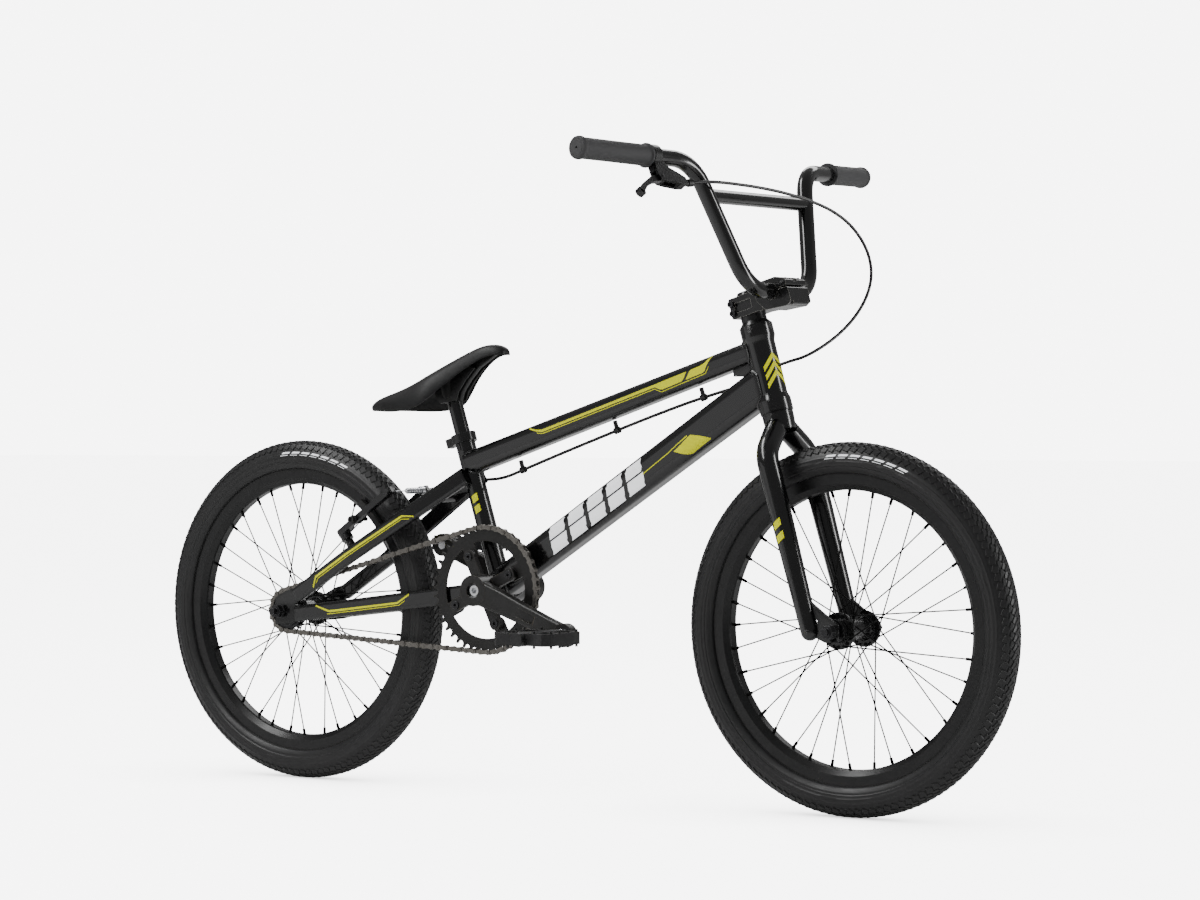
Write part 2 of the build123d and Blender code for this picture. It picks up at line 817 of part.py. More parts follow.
def toothed_disc(teeth, phase):
    """A sprocket outline: pointed teeth with a round seat for every roller."""
    radius = pitch_radius(teeth)
    disc = Circle(radius + 3.2)
    step = 360 / teeth
    seat = Circle(roller_radius + 0.45)
    gap = seat + Polygon((0, -4.3), (7.5, -6.9), (7.5, 6.9), (0, 4.3), align=None)
    gaps = [Rot(0, 0, phase + index * step) * Pos(radius, 0) * gap for index in range(teeth)]
    return disc - gaps


spider_angles = [crank_angle + 45 + 90 * index for index in range(4)]


def at_bracket(radius, angle, side):
    return bracket + Vector(radius * cos(radians(angle)), side, radius * sin(radians(angle)))


def make_chainring():
    half = chainring_thickness / 2
    outline = toothed_disc(chainring_teeth, tooth_phase(bracket, chainring_teeth))
    outline -= Circle(ring_radius - 4.5 - ring_width)
    for angle in spider_angles:
        lug = Rot(0, 0, angle) * Pos(bolt_circle / 2 + 9, 0) * RectangleRounded(34, 21, 9)
        outline += lug - Rot(0, 0, angle) * Pos(bolt_circle / 2 + 28, 0) * Rectangle(18, 24)
    for angle in spider_angles:
        outline -= Rot(0, 0, angle) * Pos(bolt_circle / 2, 0) * Circle(4.1)
    return right_plate(outline, bracket, chain_line - half, chain_line + half)


def make_chainring_bolts():
    bolts = []
    for angle in spider_angles:
        inner = at_bracket(bolt_circle / 2, angle, -(chain_line - chainring_thickness / 2 - 1.6))
        outer = at_bracket(bolt_circle / 2, angle, -(spider_face + 1.8))
        bolt = rod(inner, outer, 3.9)
        bolt += rod(inner, inner - left * 1.4, 6.0)
        bolt += rod(outer + left * 1.6, outer, 5.6)
        bolts.append(bolt - hexagon(outer + left * 3, outer - left, 5.0))
    return bolts


spider_back = chain_line + chainring_thickness / 2 + 0.1
spider_face = spider_back + 8.0
crank_boss_back = bracket_shell_width / 2 + cup_flange + 3 * running_gap


def crank_arm(spider):
    """The right-hand crank along +X from the bracket, its outer face at -Y."""
    face, tip = crank_outer_face, crank_tip_face
    sections = []
    places = (
        (0, face - 10, 36, 19), (38, face - 8.6, 33, 17), (90, (face + tip) / 2 - 8.6, 29, 15.5),
        (140, tip - 10, 27, 14), (crank_length, tip - 6.8, 27, 13.6))
    for along, centre, height, depth in places:
        outline = RectangleRounded(depth, height, 4.2)
        sections.append(Plane(origin=(along, -centre, 0), x_dir=(0, 1, 0), z_dir=(1, 0, 0)) * outline)
    arm = loft(sections, ruled=True)
    arm += rod((0, -crank_boss_back, 0), (0, -face, 0), crank_boss_radius)
    arm += rod((crank_length, -tip + 14, 0), (crank_length, -tip, 0), crank_tip_radius)
    if spider:
        leg = Pos(bolt_circle / 4 + 4, 0) * RectangleRounded(bolt_circle / 2 + 8, 17, 4)
        leg += Pos(bolt_circle / 2, 0) * Circle(9.5)
        leg -= Pos(bolt_circle / 2, 0) * Circle(4.05)
        legs = Sketch()
        for index in range(4):
            legs += Rot(0, 0, 45 + 90 * index) * leg
        arm += right_plate(legs, Vector(0, 0, 0), spider_back, spider_face)
    groove = RectangleRounded(128, 13, 6.4)
    lean = degrees(atan2(tip - face, crank_length))
    plane = right_plane(Vector(92, 0, 0), (face + tip) / 2 + 0.4)
    arm -= plane * Rot(0, lean, 0) * Pos(0, 0, -2.4) * extrude(groove, 6)
    arm -= rod((0, -30, 0), (0, -spindle_half_length - 2, 0), spindle_radius - 1.2)
    arm -= rod((0, -spindle_half_length - 1, 0), (0, -face - 1, 0), 10.5)
    arm -= rod((crank_length, -tip + 20, 0), (crank_length, -tip - 1, 0), pedal_thread_radius)
    return arm


pedal_thread_radius = 7.1
crank_turn = Location(bracket, (0, -crank_angle, 0))
left_turn = Location(bracket, (0, 180 - crank_angle, 0))


def make_cranks():
    right = crank_arm(True).moved(crank_turn)
    other = mirror_left(crank_arm(False)).moved(left_turn)
    return right, other


def make_spindle():
    """A square-ended spindle with the two crank bolts."""
    end = spindle_half_length
    shoulder = left * (crank_boss_back - 0.4)
    spindle = rod(bracket - shoulder, bracket + shoulder, spindle_radius)
    spindle += rod(bracket - left * end, bracket + left * end, spindle_radius - 1.3)
    bolts = []
    for way in (-1, 1):
        seat = bracket + left * way * (end + 1.2)
        head = bracket + left * way * (crank_outer_face - 4.0)
        bolt = rod(seat, head - left * way * 5, 10.2) + rod(seat, head, 7.6)
        bolts.append(bolt - hexagon(head - left * way * 6, head + left * way, 8.0))
    return [spindle] + bolts


pedal_places = (
    bracket + Vector(crank_length * cos(radians(crank_angle)), 0, crank_length * sin(radians(crank_angle))),
    bracket - Vector(crank_length * cos(radians(crank_angle)), 0, crank_length * sin(radians(crank_angle))))


def make_pedal_axle():
    """The right pedal's axle about the origin: a threaded end, a flange and a tapered shaft."""
    axle = rod((0, -crank_tip_face + 13, 0), (0, -crank_tip_face, 0), pedal_thread_radius - fit_gap)
    axle += rod((0, -crank_tip_face - 0.1, 0), (0, -crank_tip_face - 5, 0), 9.0)
    axle += rod((0, -crank_tip_face, 0), (0, -pedal_start + 0.5, 0), 7.0)
    return axle + rod((0, -pedal_start + 1, 0), (0, -pedal_end + 4, 0), pedal_axle_radius)


def make_pedal():
    """The right pedal about the origin: a pinned cage round an axle barrel, with an end cap."""
    middle = (pedal_start + pedal_end) / 2
    width = pedal_end - pedal_start
    cage = Polygon(
        (-pedal_half_length, -width / 2 + 10), (-pedal_half_length + 10, -width / 2), (-14, -width / 2 + 4),
        (14, -width / 2 + 4), (pedal_half_length - 10, -width / 2), (pedal_half_length, -width / 2 + 10),
        (pedal_half_length, width / 2 - 12), (pedal_half_length - 12, width / 2),
        (-pedal_half_length + 12, width / 2), (-pedal_half_length, width / 2 - 12), align=None)
    body = extrude(Plane(origin=(0, -middle, -pedal_thickness / 2)) * cage, pedal_thickness)
    for way in (-1, 1):
        for place in (-18, 18):
            window = RectangleRounded(23, 29, 4)
            body -= extrude(Plane(origin=(way * 27, -middle + place, -20)) * window, 40)
        body -= Pos(way * 27, -middle, 0) * Box(23, width - 18, 6)
    body += rod((0, -pedal_start, 0), (0, -pedal_end, 0), 9.8)
    body += rod((0, -pedal_end, 0), (0, -pedal_end - 6, 0), 10.2, 9.2)
    body -= rod((0, -pedal_start + 1, 0), (0, -pedal_end + 2, 0), pedal_axle_radius + fit_gap)
    pin_places = []
    for way in (-1, 1):
        pin_places += [(way * (pedal_half_length - 4), -middle + y) for y in (-30, -10, 10, 30)]
        pin_places += [(way * 22, -middle + y) for y in (-width / 2 + 5.5, width / 2 - 4.5)]
    for x, y in pin_places:
        body += Pos(x, y, 0) * Cylinder(1.9, pedal_thickness + 7)
    return body


def make_freewheel():
    """A single freewheel: a toothed ring on a threaded inner body, with its remover slots."""
    half = 1.5
    phase = tooth_phase(rear_axle, sprocket_teeth)
    teeth = toothed_disc(sprocket_teeth, phase) - Circle(18.2)
    wheel = right_plate(teeth, rear_axle, chain_line - half, chain_line + half)
    near, far = rear_axle - left * (chain_line - 4.5), rear_axle - left * (chain_line + 5)
    return wheel + ring(near, far, 22.5, 18.2)


# ---- fork --------------------------------------------------------------------------------


def make_steerer():
    """The steerer tube with the crown race at its foot, under the lower bearing."""
    top = bar_station + stem_height / 2 - 6
    steerer = ring(on_head(-26), on_head(top), steerer_radius, steerer_bore)
    crown = rod(on_head(-26), on_head(-10), 20.0, 21.5) + rod(on_head(-10), on_head(-running_gap), 21.5)
    return steerer + (crown - rod(on_head(-30), on_head(1), steerer_radius - 0.5))


def fork_leg(radius, tip_radius, overrun=0.0):
    """The right leg's outside, or its bore: a curved shoulder and a straight taper."""
    shoulder = [
        on_head(-14, 0, -4), on_head(-14 - fork_shoulder_drop * 0.9, 0, -fork_leg_spread),
        on_head(-130, 0, -fork_leg_spread)]
    leg = bent_rod(shoulder, [38], radius)
    leg += rod(shoulder[-1], on_head(-fork_length + 8 + overrun, 0, -fork_leg_spread), radius, tip_radius)
    return leg


def make_fork_leg():
    leg = fork_leg(fork_leg_radius, fork_tip_radius)
    tip = on_head(-fork_length + 8, 0, -fork_leg_spread)
    leg += Pos(*tip) * Sphere(fork_tip_radius)
    leg -= fork_leg(fork_leg_radius - fork_wall, fork_tip_radius - fork_wall)
    crown = rod(on_head(-30), on_head(5), 20.1) + rod(on_head(-27), on_head(5), 21.6)
    middle = Pos(0, 50, 0) * Box(2000, 100, 2000)
    leg = leg - crown - middle
    return max(leg.solids(), key=lambda s: s.volume)


def make_fork_dropout():
    """The right front dropout: a plate that carries the axle ahead of the leg."""
    inner = front_hub_width / 2
    leg_low = on_head(-fork_length + 8) - front_axle
    leg_high = on_head(-fork_length + 62) - front_axle
    web = Polygon(
        (leg_high.X, leg_high.Z), (leg_high.X + 10, leg_high.Z - 8), (-8, 22), (12, 9), (12, -13),
        (-8, -15), (leg_low.X, leg_low.Z - 4), align=None)
    outline = fillet(web.vertices(), 4.0) + Circle(15.5)
    slot = SlotOverall(40, 2 * (axle_radius + fit_gap)).moved(Location((11.0, 0)))
    outline -= Pos(4, -8) * Rot(0, 0, -70) * slot
    outline -= Circle(axle_radius + fit_gap)
    outline -= Pos(-24, 12) * Circle(4.5)
    web = right_plate(outline, front_axle, inner, inner + dropout_thickness)
    web -= fork_leg(fork_leg_radius, fork_tip_radius)
    web -= Pos(*on_head(-fork_length + 8, 0, -fork_leg_spread)) * Sphere(fork_tip_radius)
    return max(web.solids(), key=lambda s: s.volume)


# ---- cockpit -----------------------------------------------------------------------------

stem_low = head_tube_length + headset_cover_height + spacer_height + running_gap
stem_high = stem_low + stem_height


def make_spacers():
    base = head_tube_length + running_gap
    cover = rod(on_head(base), on_head(base + headset_cover_height), head_cup_radius - 0.6, 17.5)
    cover -= rod(on_head(base - 1), on_head(stem_low), steerer_radius + fit_gap)
    spacer = ring(on_head(base + headset_cover_height), on_head(stem_low), 17.5, steerer_radius + fit_gap)
    cap_low = stem_high
    cap = rod(on_head(cap_low), on_head(cap_low + 5), 16.5, 14.5)
    cap -= rod(on_head(cap_low + 2), on_head(cap_low + 6), 4.4)
    bolt = rod(on_head(cap_low + 2), on_head(cap_low + 5.6), 4.3)
    bolt += rod(on_head(cap_low - 20), on_head(cap_low + 2), 3.0)
    bolt -= hexagon(on_head(cap_low + 3), on_head(cap_low + 6), 4.5)
    cap -= rod(on_head(cap_low - 1), on_head(cap_low + 3), 3.0)
    return [cover, spacer, cap, bolt]


def steering_plane(side):
    """Local X is forward, square to the steerer, and local Y is up along it."""
    return Plane(origin=on_head(0, 0, side), x_dir=steer_out, z_dir=-left)


def stem_profile(points, width):
    outline = Polygon(*points, align=None)
    return plate(steering_plane(width / 2), fillet(outline.vertices(), 3.0), width)


bar_centre = on_head(bar_station, stem_reach)


def stem_bolt_places():
    """The four bolts that pull the clamp cap down on the bar."""
    return [(stem_reach + out, side) for out in (-19.0, 19.0) for side in (-17.0, 17.0)]


def make_stem():
    low, high = stem_low, stem_high
    seat = bar_station
    body = stem_profile(
        ((-22, low), (-22, high), (20, high), (stem_reach - 28, seat - 1), (stem_reach + 28, seat - 1),
         (stem_reach + 28, seat - 26), (20, low)), stem_width)
    clamp = stem_profile(
        ((stem_reach - 28, seat - 1), (stem_reach + 28, seat - 1), (stem_reach + 28, seat - 22),
         (stem_reach + 20, seat - 26), (stem_reach - 14, seat - 22)), stem_clamp_width)
    stem = body + clamp
    stem -= rod(on_head(low - 1), on_head(high + 1), steerer_radius + fit_gap)
    stem -= rod(bar_centre - left * 60, bar_centre + left * 60, bar_radius + fit_gap)
    stem -= steering_plane(0) * Pos(-20, (low + high) / 2, 0) * Box(16, high - low + 2, 2.0)
    window = steering_plane(0) * Pos(-1, (low + high) / 2, 0) * Box(27, 13, stem_width + 2)
    stem -= window & (steering_plane(0) * Pos(0, (low + high) / 2, stem_width / 2) * Box(80, 40, 6))
    stem -= window & (steering_plane(0) * Pos(0, (low + high) / 2, -stem_width / 2) * Box(80, 40, 6))
    for out, side in stem_bolt_places():
        stem -= rod(on_head(seat - 20, out, side), on_head(seat + 4, out, side), 3.0)
    for height in pinch_heights:
        stem -= rod(on_head(height, -18, -30), on_head(height, -18, 30), 2.8)
    return stem


pinch_heights = (stem_low + 8, stem_high - 8)


def make_stem_cap():
    seat = bar_station
    cap = stem_profile(
        ((stem_reach - 27, seat + 1), (stem_reach + 27, seat + 1), (stem_reach + 27, seat + 9),
         (stem_reach + 12, seat + 17), (stem_reach - 12, seat + 17), (stem_reach - 27, seat + 9)),
        stem_clamp_width)
    cap -= rod(bar_centre - left * 60, bar_centre + left * 60, bar_radius + fit_gap)
    cap -= steering_plane(0) * Pos(stem_reach, seat + 17, 0) * Box(60, 20, 9)
    for out, side in stem_bolt_places():
        cap -= rod(on_head(seat - 5, out, side), on_head(seat + 30, out, side), 3.0)
        cap -= rod(on_head(seat + 8, out, side), on_head(seat + 30, out, side), 4.8)
    return max(cap.solids(), key=lambda s: s.volume)


def make_stem_bolts():
    bolts = []
    seat = bar_station
    for out, side in stem_bolt_places():
        bolt = rod(on_head(seat - 18, out, side), on_head(seat + 8, out, side), 2.9)
        bolt += rod(on_head(seat + 8, out, side), on_head(seat + 13, out, side), 4.6)
        bolts.append(bolt - hexagon(on_head(seat + 10, out, side), on_head(seat + 14, out, side), 5.0))
    for height in pinch_heights:
        bolt = rod(on_head(height, -18, -19), on_head(height, -18, 17), 2.7)
        bolt += rod(on_head(height, -18, -23), on_head(height, -18, -19), 4.4)
        bolts.append(bolt - hexagon(on_head(height, -18, -24), on_head(height, -18, -21), 4.5))
    return bolts


def on_bar(side, rise, sweep=0.0):
    """A point of the bar: sideways, up its tilted plane, and swept to the rear."""
    return bar_centre + Vector(-rise * tan(radians(bar_tilt)) - sweep, side, rise)


def bar_points():
    half = [
        on_bar(
            bar_half_width, bar_rise + bar_upsweep,
            bar_backsweep - bar_upsweep * tan(radians(bar_tilt))),
        on_bar(bar_shoulder_half, bar_rise), on_bar(bar_bottom_half, 0)]
    return half + [Vector(p.X, -p.Y, p.Z) for p in reversed(half)]


def make_handlebar():
    points = bar_points()
    radii = [bar_bend_radius] * 4
    bar = bent_rod(points, radii, bar_radius)
    return bar - bent_rod(points, radii, bar_radius - bar_wall)


def make_crossbar():
    reach = bar_bottom_half + (bar_shoulder_half - bar_bottom_half) * crossbar_rise / bar_rise
    right, other = on_bar(-reach, crossbar_rise), on_bar(reach, crossbar_rise)
    tube = ring(right, other, crossbar_radius, crossbar_radius - bar_wall)
    tube -= bent_rod(bar_points(), [bar_bend_radius] * 4, bar_radius)
    return max(tube.solids(), key=lambda s: s.volume)


def grip_line():
    """The right grip's outer end and the way along the bar towards the middle."""
    end, shoulder = bar_points()[-1], bar_points()[-2]
    return end, (shoulder - end).normalized()


def make_grip():
    end, inward = grip_line()
    grip = rod(end - inward * 3, end + inward * grip_length, grip_radius)
    grip += rod(end - inward * 3, end + inward * 4, grip_radius + 0.9)
    grip += rod(end + inward * (grip_length - 4), end + inward * grip_length, grip_flange_radius)
    return grip - rod(end, end + inward * (grip_length + 1), bar_radius + fit_gap)


# ---- brake lever -------------------------------------------------------------------------

lever_drop = 37.0
lever_blade_length = 58.0


def lever_frame():
    """Where the lever's clamp sits on the bar, and the lever's own directions."""
    end, inward = grip_line()
    seat = end + inward * (grip_length + 2.0 + lever_clamp_width / 2)
    down = Vector(0.55, 0, -0.835)
    down = (down - inward * down.dot(inward)).normalized()
    return seat, inward, down, down.cross(inward).normalized()


lever_seat, lever_inward, lever_down, lever_axis = lever_frame()
lever_pivot = lever_seat + lever_down * lever_drop - lever_inward * 4


def lever_plane(offset=0.0):
    """Local X runs inward along the bar and local Y away from the bar."""
    out = lever_inward.cross(lever_down)
    return Plane(origin=lever_seat + lever_axis * offset, x_dir=lever_inward, z_dir=out)


def make_lever_bracket():
    """A hinged clamp, a perch that carries the lever's pivot, and the cable's barrel adjuster."""
    half = lever_clamp_width / 2
    bracket_part = rod(lever_seat - lever_inward * half, lever_seat + lever_inward * half, bar_radius + 4.2)
    perch = Polygon(
        (-7, 10), (7, 10), (16, 22), (34, 32), (40, 36), (40, 46), (26, 47), (2, 45), (-9, 43), (-12, 34),
        align=None)
    plane = lever_plane()
    bracket_part += extrude(plane * fillet(perch.vertices(), 2.0), 7, both=True)
    bracket_part -= rod(
        lever_seat - lever_inward * 20, lever_seat + lever_inward * 20, bar_radius + fit_gap)
    slot = Polygon((-16, 26), (12, 26), (20, 34), (20, 52), (-16, 52), align=None)
    bracket_part -= extrude(plane * slot, 3.6, both=True)
    bracket_part -= rod(lever_pivot - lever_axis * 10, lever_pivot + lever_axis * 10, 2.6)
    adjuster_seat = lever_seat + lever_inward * 40 + lever_down * 41
    way = (lever_inward + lever_axis * 0.27).normalized()
    bracket_part += rod(adjuster_seat - way * 4, adjuster_seat + way * 6, 4.2)
    bracket_part += rod(adjuster_seat + way * 6, adjuster_seat + way * 13, 5.4)
    bracket_part -= rod(adjuster_seat + way * 5, adjuster_seat + way * 14, cable_radius + 0.15)
    pin = rod(lever_pivot - lever_axis * 7.6, lever_pivot + lever_axis * 7.6, 2.5)
    return [bracket_part, pin]


def make_brake_lever():
    """A short blade on the pivot with a round finger loop at its end."""
    start = lever_drop
    tip = (-lever_blade_length, start + 26)
    blade = Polygon(
        (3, start - 5), (-8, start - 5), (-24, start), (-42, start + 10), (tip[0] + 6, tip[1] - 8),
        (tip[0], tip[1]), (tip[0] + 8, tip[1]), (-38, start + 15), (-22, start + 8), (-6, start + 6),
        (3, start + 5), align=None)
    outline = fillet(blade.vertices(), 1.5) + Pos(-4, start) * Circle(6.5)
    outline += Pos(tip[0] + 2, tip[1]) * Circle(6.5)
    outline -= Pos(tip[0] + 2, tip[1]) * Circle(3.2)
    lever = extrude(lever_plane() * outline, 3.3, both=True)
    return lever - rod(lever_pivot - lever_axis * 10, lever_pivot + lever_axis * 10, 2.5 + fit_gap)


# The brake cable's free loop: from the barrel adjuster, past the crossbar, to the head tube.
loop_route = [
    Vector(329.7, -180.6, 843.3), Vector(338.5, -158.4, 846.1), Vector(348, -135, 846.5),
    Vector(358, -106, 845), Vector(371, -71, 842), Vector(385, -29, 836.5), Vector(398, 14, 828),
    Vector(409, 56, 816), Vector(418, 93, 797), Vector(425, 120, 769), Vector(428, 132, 737),
    Vector(426, 126, 706), Vector(421, 104, 676), Vector(413, 73, 650), Vector(403, 41, 630),
    Vector(390, 15, 616.5), Vector(374, 1.5, 610.6), Vector(355, 0, 604.8)]

# ---- brake arms --------------------------------------------------------------------------


def on_brake(along, side, height=0.0):
    """A point by the right brake pivot: up the arm, to the left, and along the pivot."""
    return brake_pivot + brake_along * along + left * side + brake_axis * height


def make_brake_arm():
    """A slender arm on a round hub, with a bolt eye at its top."""
    plane = Plane(origin=brake_pivot, x_dir=brake_along, z_dir=brake_axis)
    reach = brake_arm_length
    outline = Polygon(
        (-7, -7.5), (0, -9), (14, -10.5), (45, -8.5), (reach - 8, -5), (reach + 6, -4), (reach + 6, 6),
        (reach - 8, 6.5), (60, 3.5), (45, -0.5), (24, -1.5), (10, 4), (0, 9), (-7, 7.5), align=None)
    arm = extrude(plane * fillet(outline.vertices(), 2.0), 4.5, both=True)
    arm += rod(on_brake(0, 0, -13), on_brake(0, 0, 5.5), 9.0)
    arm -= rod(on_brake(0, 0, -20), on_brake(0, 0, 5.7), brake_pivot_radius + fit_gap)
    arm -= rod(on_brake(brake_pad_height, -20), on_brake(brake_pad_height, 20), 3.2)
    arm -= rod(on_brake(reach, -20), on_brake(reach, 20), 3.2)
    return arm


def rim_gap_side():
    return -(rim_width / 2 + pad_gap)


def make_brake_pad():
    """A curved block by the rim, its threaded post through the arm, and the post's washers."""
    place = on_brake(brake_pad_height, 0)
    radial = place - Vector(0, place.Y, 0) - rear_axle
    angle = degrees(atan2(radial.Z, radial.X))
    middle = rim_flange_radius - 6.5
    arc = Circle(middle + 4.8) - Circle(middle - 4.8)
    wedge = Rot(0, 0, angle) * Pos(middle, 0) * Rectangle(40, 56)
    block = right_plate(arc & wedge, rear_axle, -rim_gap_side(), pad_thickness - rim_gap_side())
    post_start = Vector(place.X, rim_gap_side() - pad_thickness, place.Z)
    post = rod(post_start, Vector(place.X, place.Y - 16, place.Z), 3.0)
    washers = []
    for start, end, radius in ((-0.5, 3.2, 6.4), (-13.7, -10.4, 6.4), (-18.7, -13.7, 5.2)):
        near = Vector(place.X, brake_pivot.Y + start, place.Z)
        far = Vector(place.X, brake_pivot.Y + end, place.Z)
        washers.append(ring(near, far, radius, 3.0))
    return [block, post] + washers


def make_anchor_bolt():
    """The right arm's cable anchor: a bolt with a square washer."""
    reach = brake_arm_length
    bolt = rod(on_brake(reach, -8.5), on_brake(reach, 9.5), 3.1)
    bolt += hexagon(on_brake(reach, -8.5), on_brake(reach, -4.6), 8.0)
    return bolt + ring(on_brake(reach, 6.6), on_brake(reach, 9.5), 5.2, 3.0)


brake_top = on_brake(brake_arm_length, 0)


def make_noodle():
    """The left arm's cable guide: a curved pipe, its pivot link, the rubber boot and the wire."""
    top = Vector(brake_top.X, -brake_top.Y, brake_top.Z)
    start = top + Vector(0, -13, 0)
    corner = top + Vector(0, 19, 0)
    end = housing_route[-1] + (corner - housing_route[-1]).normalized() * noodle_gap
    pipe = bent_rod([start, corner, end], [14], 2.9)
    ferrule_way = (end - corner).normalized()
    pipe += rod(end - ferrule_way * 7, end, 3.6)
    link = ring(start, start + left * 6.5, 6.0, 2.9)
    boot = Part()
    boot_start = start.Y
    for index in range(6):
        y = boot_start - 5.5 * index
        boot += rod((start.X, y, start.Z), (start.X, y - 3.0, start.Z), 4.4)
        boot += rod((start.X, y - 3.0, start.Z), (start.X, y - 5.5, start.Z), 3.3)
    wire_start = Vector(start.X, boot_start - 33, start.Z)
    wire = rod(wire_start, Vector(start.X, brake_top.Y + 10.4, start.Z), wire_radius)
    return [pipe, link, boot, wire]


# ---- seat --------------------------------------------------------------------------------


def make_seatpost():
    low = on_seat(seat_tube_length - seatpost_insertion)
    high = on_seat(seat_tube_length + seatpost_exposed + 22)
    return ring(low, high, seatpost_radius, seatpost_radius - 2.4)


def make_saddle():
    """The padded shell's outer form, from tail to nose, and the socket that grips the post."""
    lean = radians(saddle_tilt)
    tail = Vector(-337, 0, 548)
    way = Vector(cos(lean), 0, sin(lean))
    sections = []
    shape = (
        (0, 66, 14, 0), (22, 104, 22, -1), (60, saddle_width, 27, -1), (105, 92, 30, 2), (150, 58, 31, 6),
        (200, saddle_nose_width, 25, 6), (238, 32, 18, 1), (saddle_length, 18, 10, -3))
    for along, width, height, lift in shape:
        origin = tail + way * along + Vector(0, 0, lift)
        outline = Plane(origin=origin, x_dir=(0, 1, 0), z_dir=way) * Ellipse(width / 2, height / 2)
        sections.append(outline)
    shell = loft(sections)
    post_top = seat_tube_length + seatpost_exposed + 22
    socket = rod(on_seat(seat_tube_length + seatpost_exposed - 6), on_seat(post_top + 4), 14.5, 19)
    whole = shell + socket
    whole -= rod(on_seat(seat_tube_length), on_seat(post_top + 0.3), seatpost_radius + fit_gap)
    return max(whole.solids(), key=lambda s: s.volume)


# ---- build every node --------------------------------------------------------------------


def pair(shape):
    return [shape, mirror_left(shape)]


def add(name, pieces):
    nodes[name] = pieces if isinstance(pieces, list) else [pieces]


stay_right = make_seatstay()
chainstay_right = make_chainstay()
stay_cutters = stay_cut()
stay_solids = stay_cutters + mirror_left(stay_cutters)
dropout_right = make_dropout() - stay_cutters

add("head_tube", make_head_tube())
add("top_tube", make_top_tube())
add("down_tube", make_down_tube())
add("seat_tube", make_seat_tube())
add("bottom_bracket_shell", make_bracket_shell())
add("seatstay_right", stay_right)
add("seatstay_left", mirror_left(stay_right))
add("chainstay_right", chainstay_right)
add("chainstay_left", mirror_left(chainstay_right))
add("rear_dropouts", pair(max(dropout_right.solids(), key=lambda s: s.volume)))
boss = make_brake_boss()
add("brake_bosses", pair(boss) + make_bridges())
add("head_gusset", make_head_gusset())
add("cable_clips", make_cable_clips())
collar, collar_bolt = make_seat_clamp()
add("seat_clamp", [collar, collar_bolt])
add("headset_bearings", make_headset_bearings())
add("bottom_bracket_cups", make_bracket_cups())
add("brake_housing", bent_rod(housing_route, cord_radii(housing_route), cable_radius))
add("brake_cable_loop", bent_rod(loop_route, cord_radii(loop_route), cable_radius))

front_lines = spoke_lines(front_axle, front_flange_spacing)
rear_lines = spoke_lines(rear_axle, rear_flange_spacing)
add("front_tyre", make_tyre(front_axle))
add("rear_tyre", make_tyre(rear_axle))
add("front_inner_tube", make_inner_tube(front_axle))
add("rear_inner_tube", make_inner_tube(rear_axle))
add("front_rim", make_rim(front_axle, front_lines))
add("rear_rim", make_rim(rear_axle, rear_lines))
add("front_spokes", make_spokes(front_lines))
add("rear_spokes", make_spokes(rear_lines))
add("front_hub", make_hub(front_axle, front_hub_width, front_flange_spacing, front_lines))
add("rear_hub", make_hub(rear_axle, rear_hub_width, rear_flange_spacing, rear_lines))
add("front_axle", make_axle(front_axle, front_hub_width, front_axle_length, dropout_thickness))
add("rear_axle", make_axle(rear_axle, rear_hub_width, rear_axle_length, dropout_thickness))

add("chain", make_chain())
add("chainring", make_chainring())
add("chainring_bolts", make_chainring_bolts())
crank_right, crank_left = make_cranks()
add("crank_right", crank_right)
add("crank_left", crank_left)
add("crank_spindle", make_spindle())
add("freewheel", make_freewheel())
pedal_axle = make_pedal_axle()
pedal = make_pedal()
right_place, left_place = (Location(place) for place in pedal_places)
add("pedal_axles", [pedal_axle.moved(right_place), mirror_left(pedal_axle).moved(left_place)])
add("pedal_right", pedal.moved(right_place))
add("pedal_left", mirror_left(pedal).moved(left_place))

add("fork_steerer", make_steerer())
leg = make_fork_leg()
add("fork_legs", pair(leg))
add("fork_dropouts", pair(make_fork_dropout()))
add("headset_spacers", make_spacers())
add("stem", make_stem())
add("stem_clamp_cap", make_stem_cap())
add("stem_bolts", make_stem_bolts())
add("handlebar", make_handlebar())
add("crossbar", make_crossbar())
grip = make_grip()
add("grips", pair(grip))
add("brake_lever_bracket", make_lever_bracket())
add("brake_lever", make_brake_lever())
arm = make_brake_arm()
add("brake_arm_right", [arm, make_anchor_bolt()])
add("brake_arm_left", mirror_left(arm))
pad = make_brake_pad()
add("brake_pad_right", pad)
add("brake_pad_left", [mirror_left(piece) for piece in pad])
add("brake_noodle", make_noodle())
add("seatpost", make_seatpost())
add("saddle", make_saddle())

os.makedirs("parts", exist_ok=True)
for name, pieces in nodes.items():
    solids = [solid for piece in pieces for solid in piece.solids()]
    shape = solids[0] if len(solids) == 1 else Compound(children=solids)
    export_step(shape, f"parts/{name}.step")

print("chainstay", round(chainstay_length, 2), "nodes", len(nodes))
print("brake pivot", brake_pivot, "lever pivot", lever_pivot, "lever axis", lever_axis * -1)
print("bracket", bracket, "head base", head_base, "pedals", pedal_places)
for label, route in (("housing", housing_route), ("loop", loop_route)):
    print(label, "arc radii", [round(radius) for radius in cord_radii(route)])
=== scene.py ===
import json
import bpy
from math import atan2, cos, degrees, pi, radians, sin, sqrt
from mathutils import Matrix, Vector


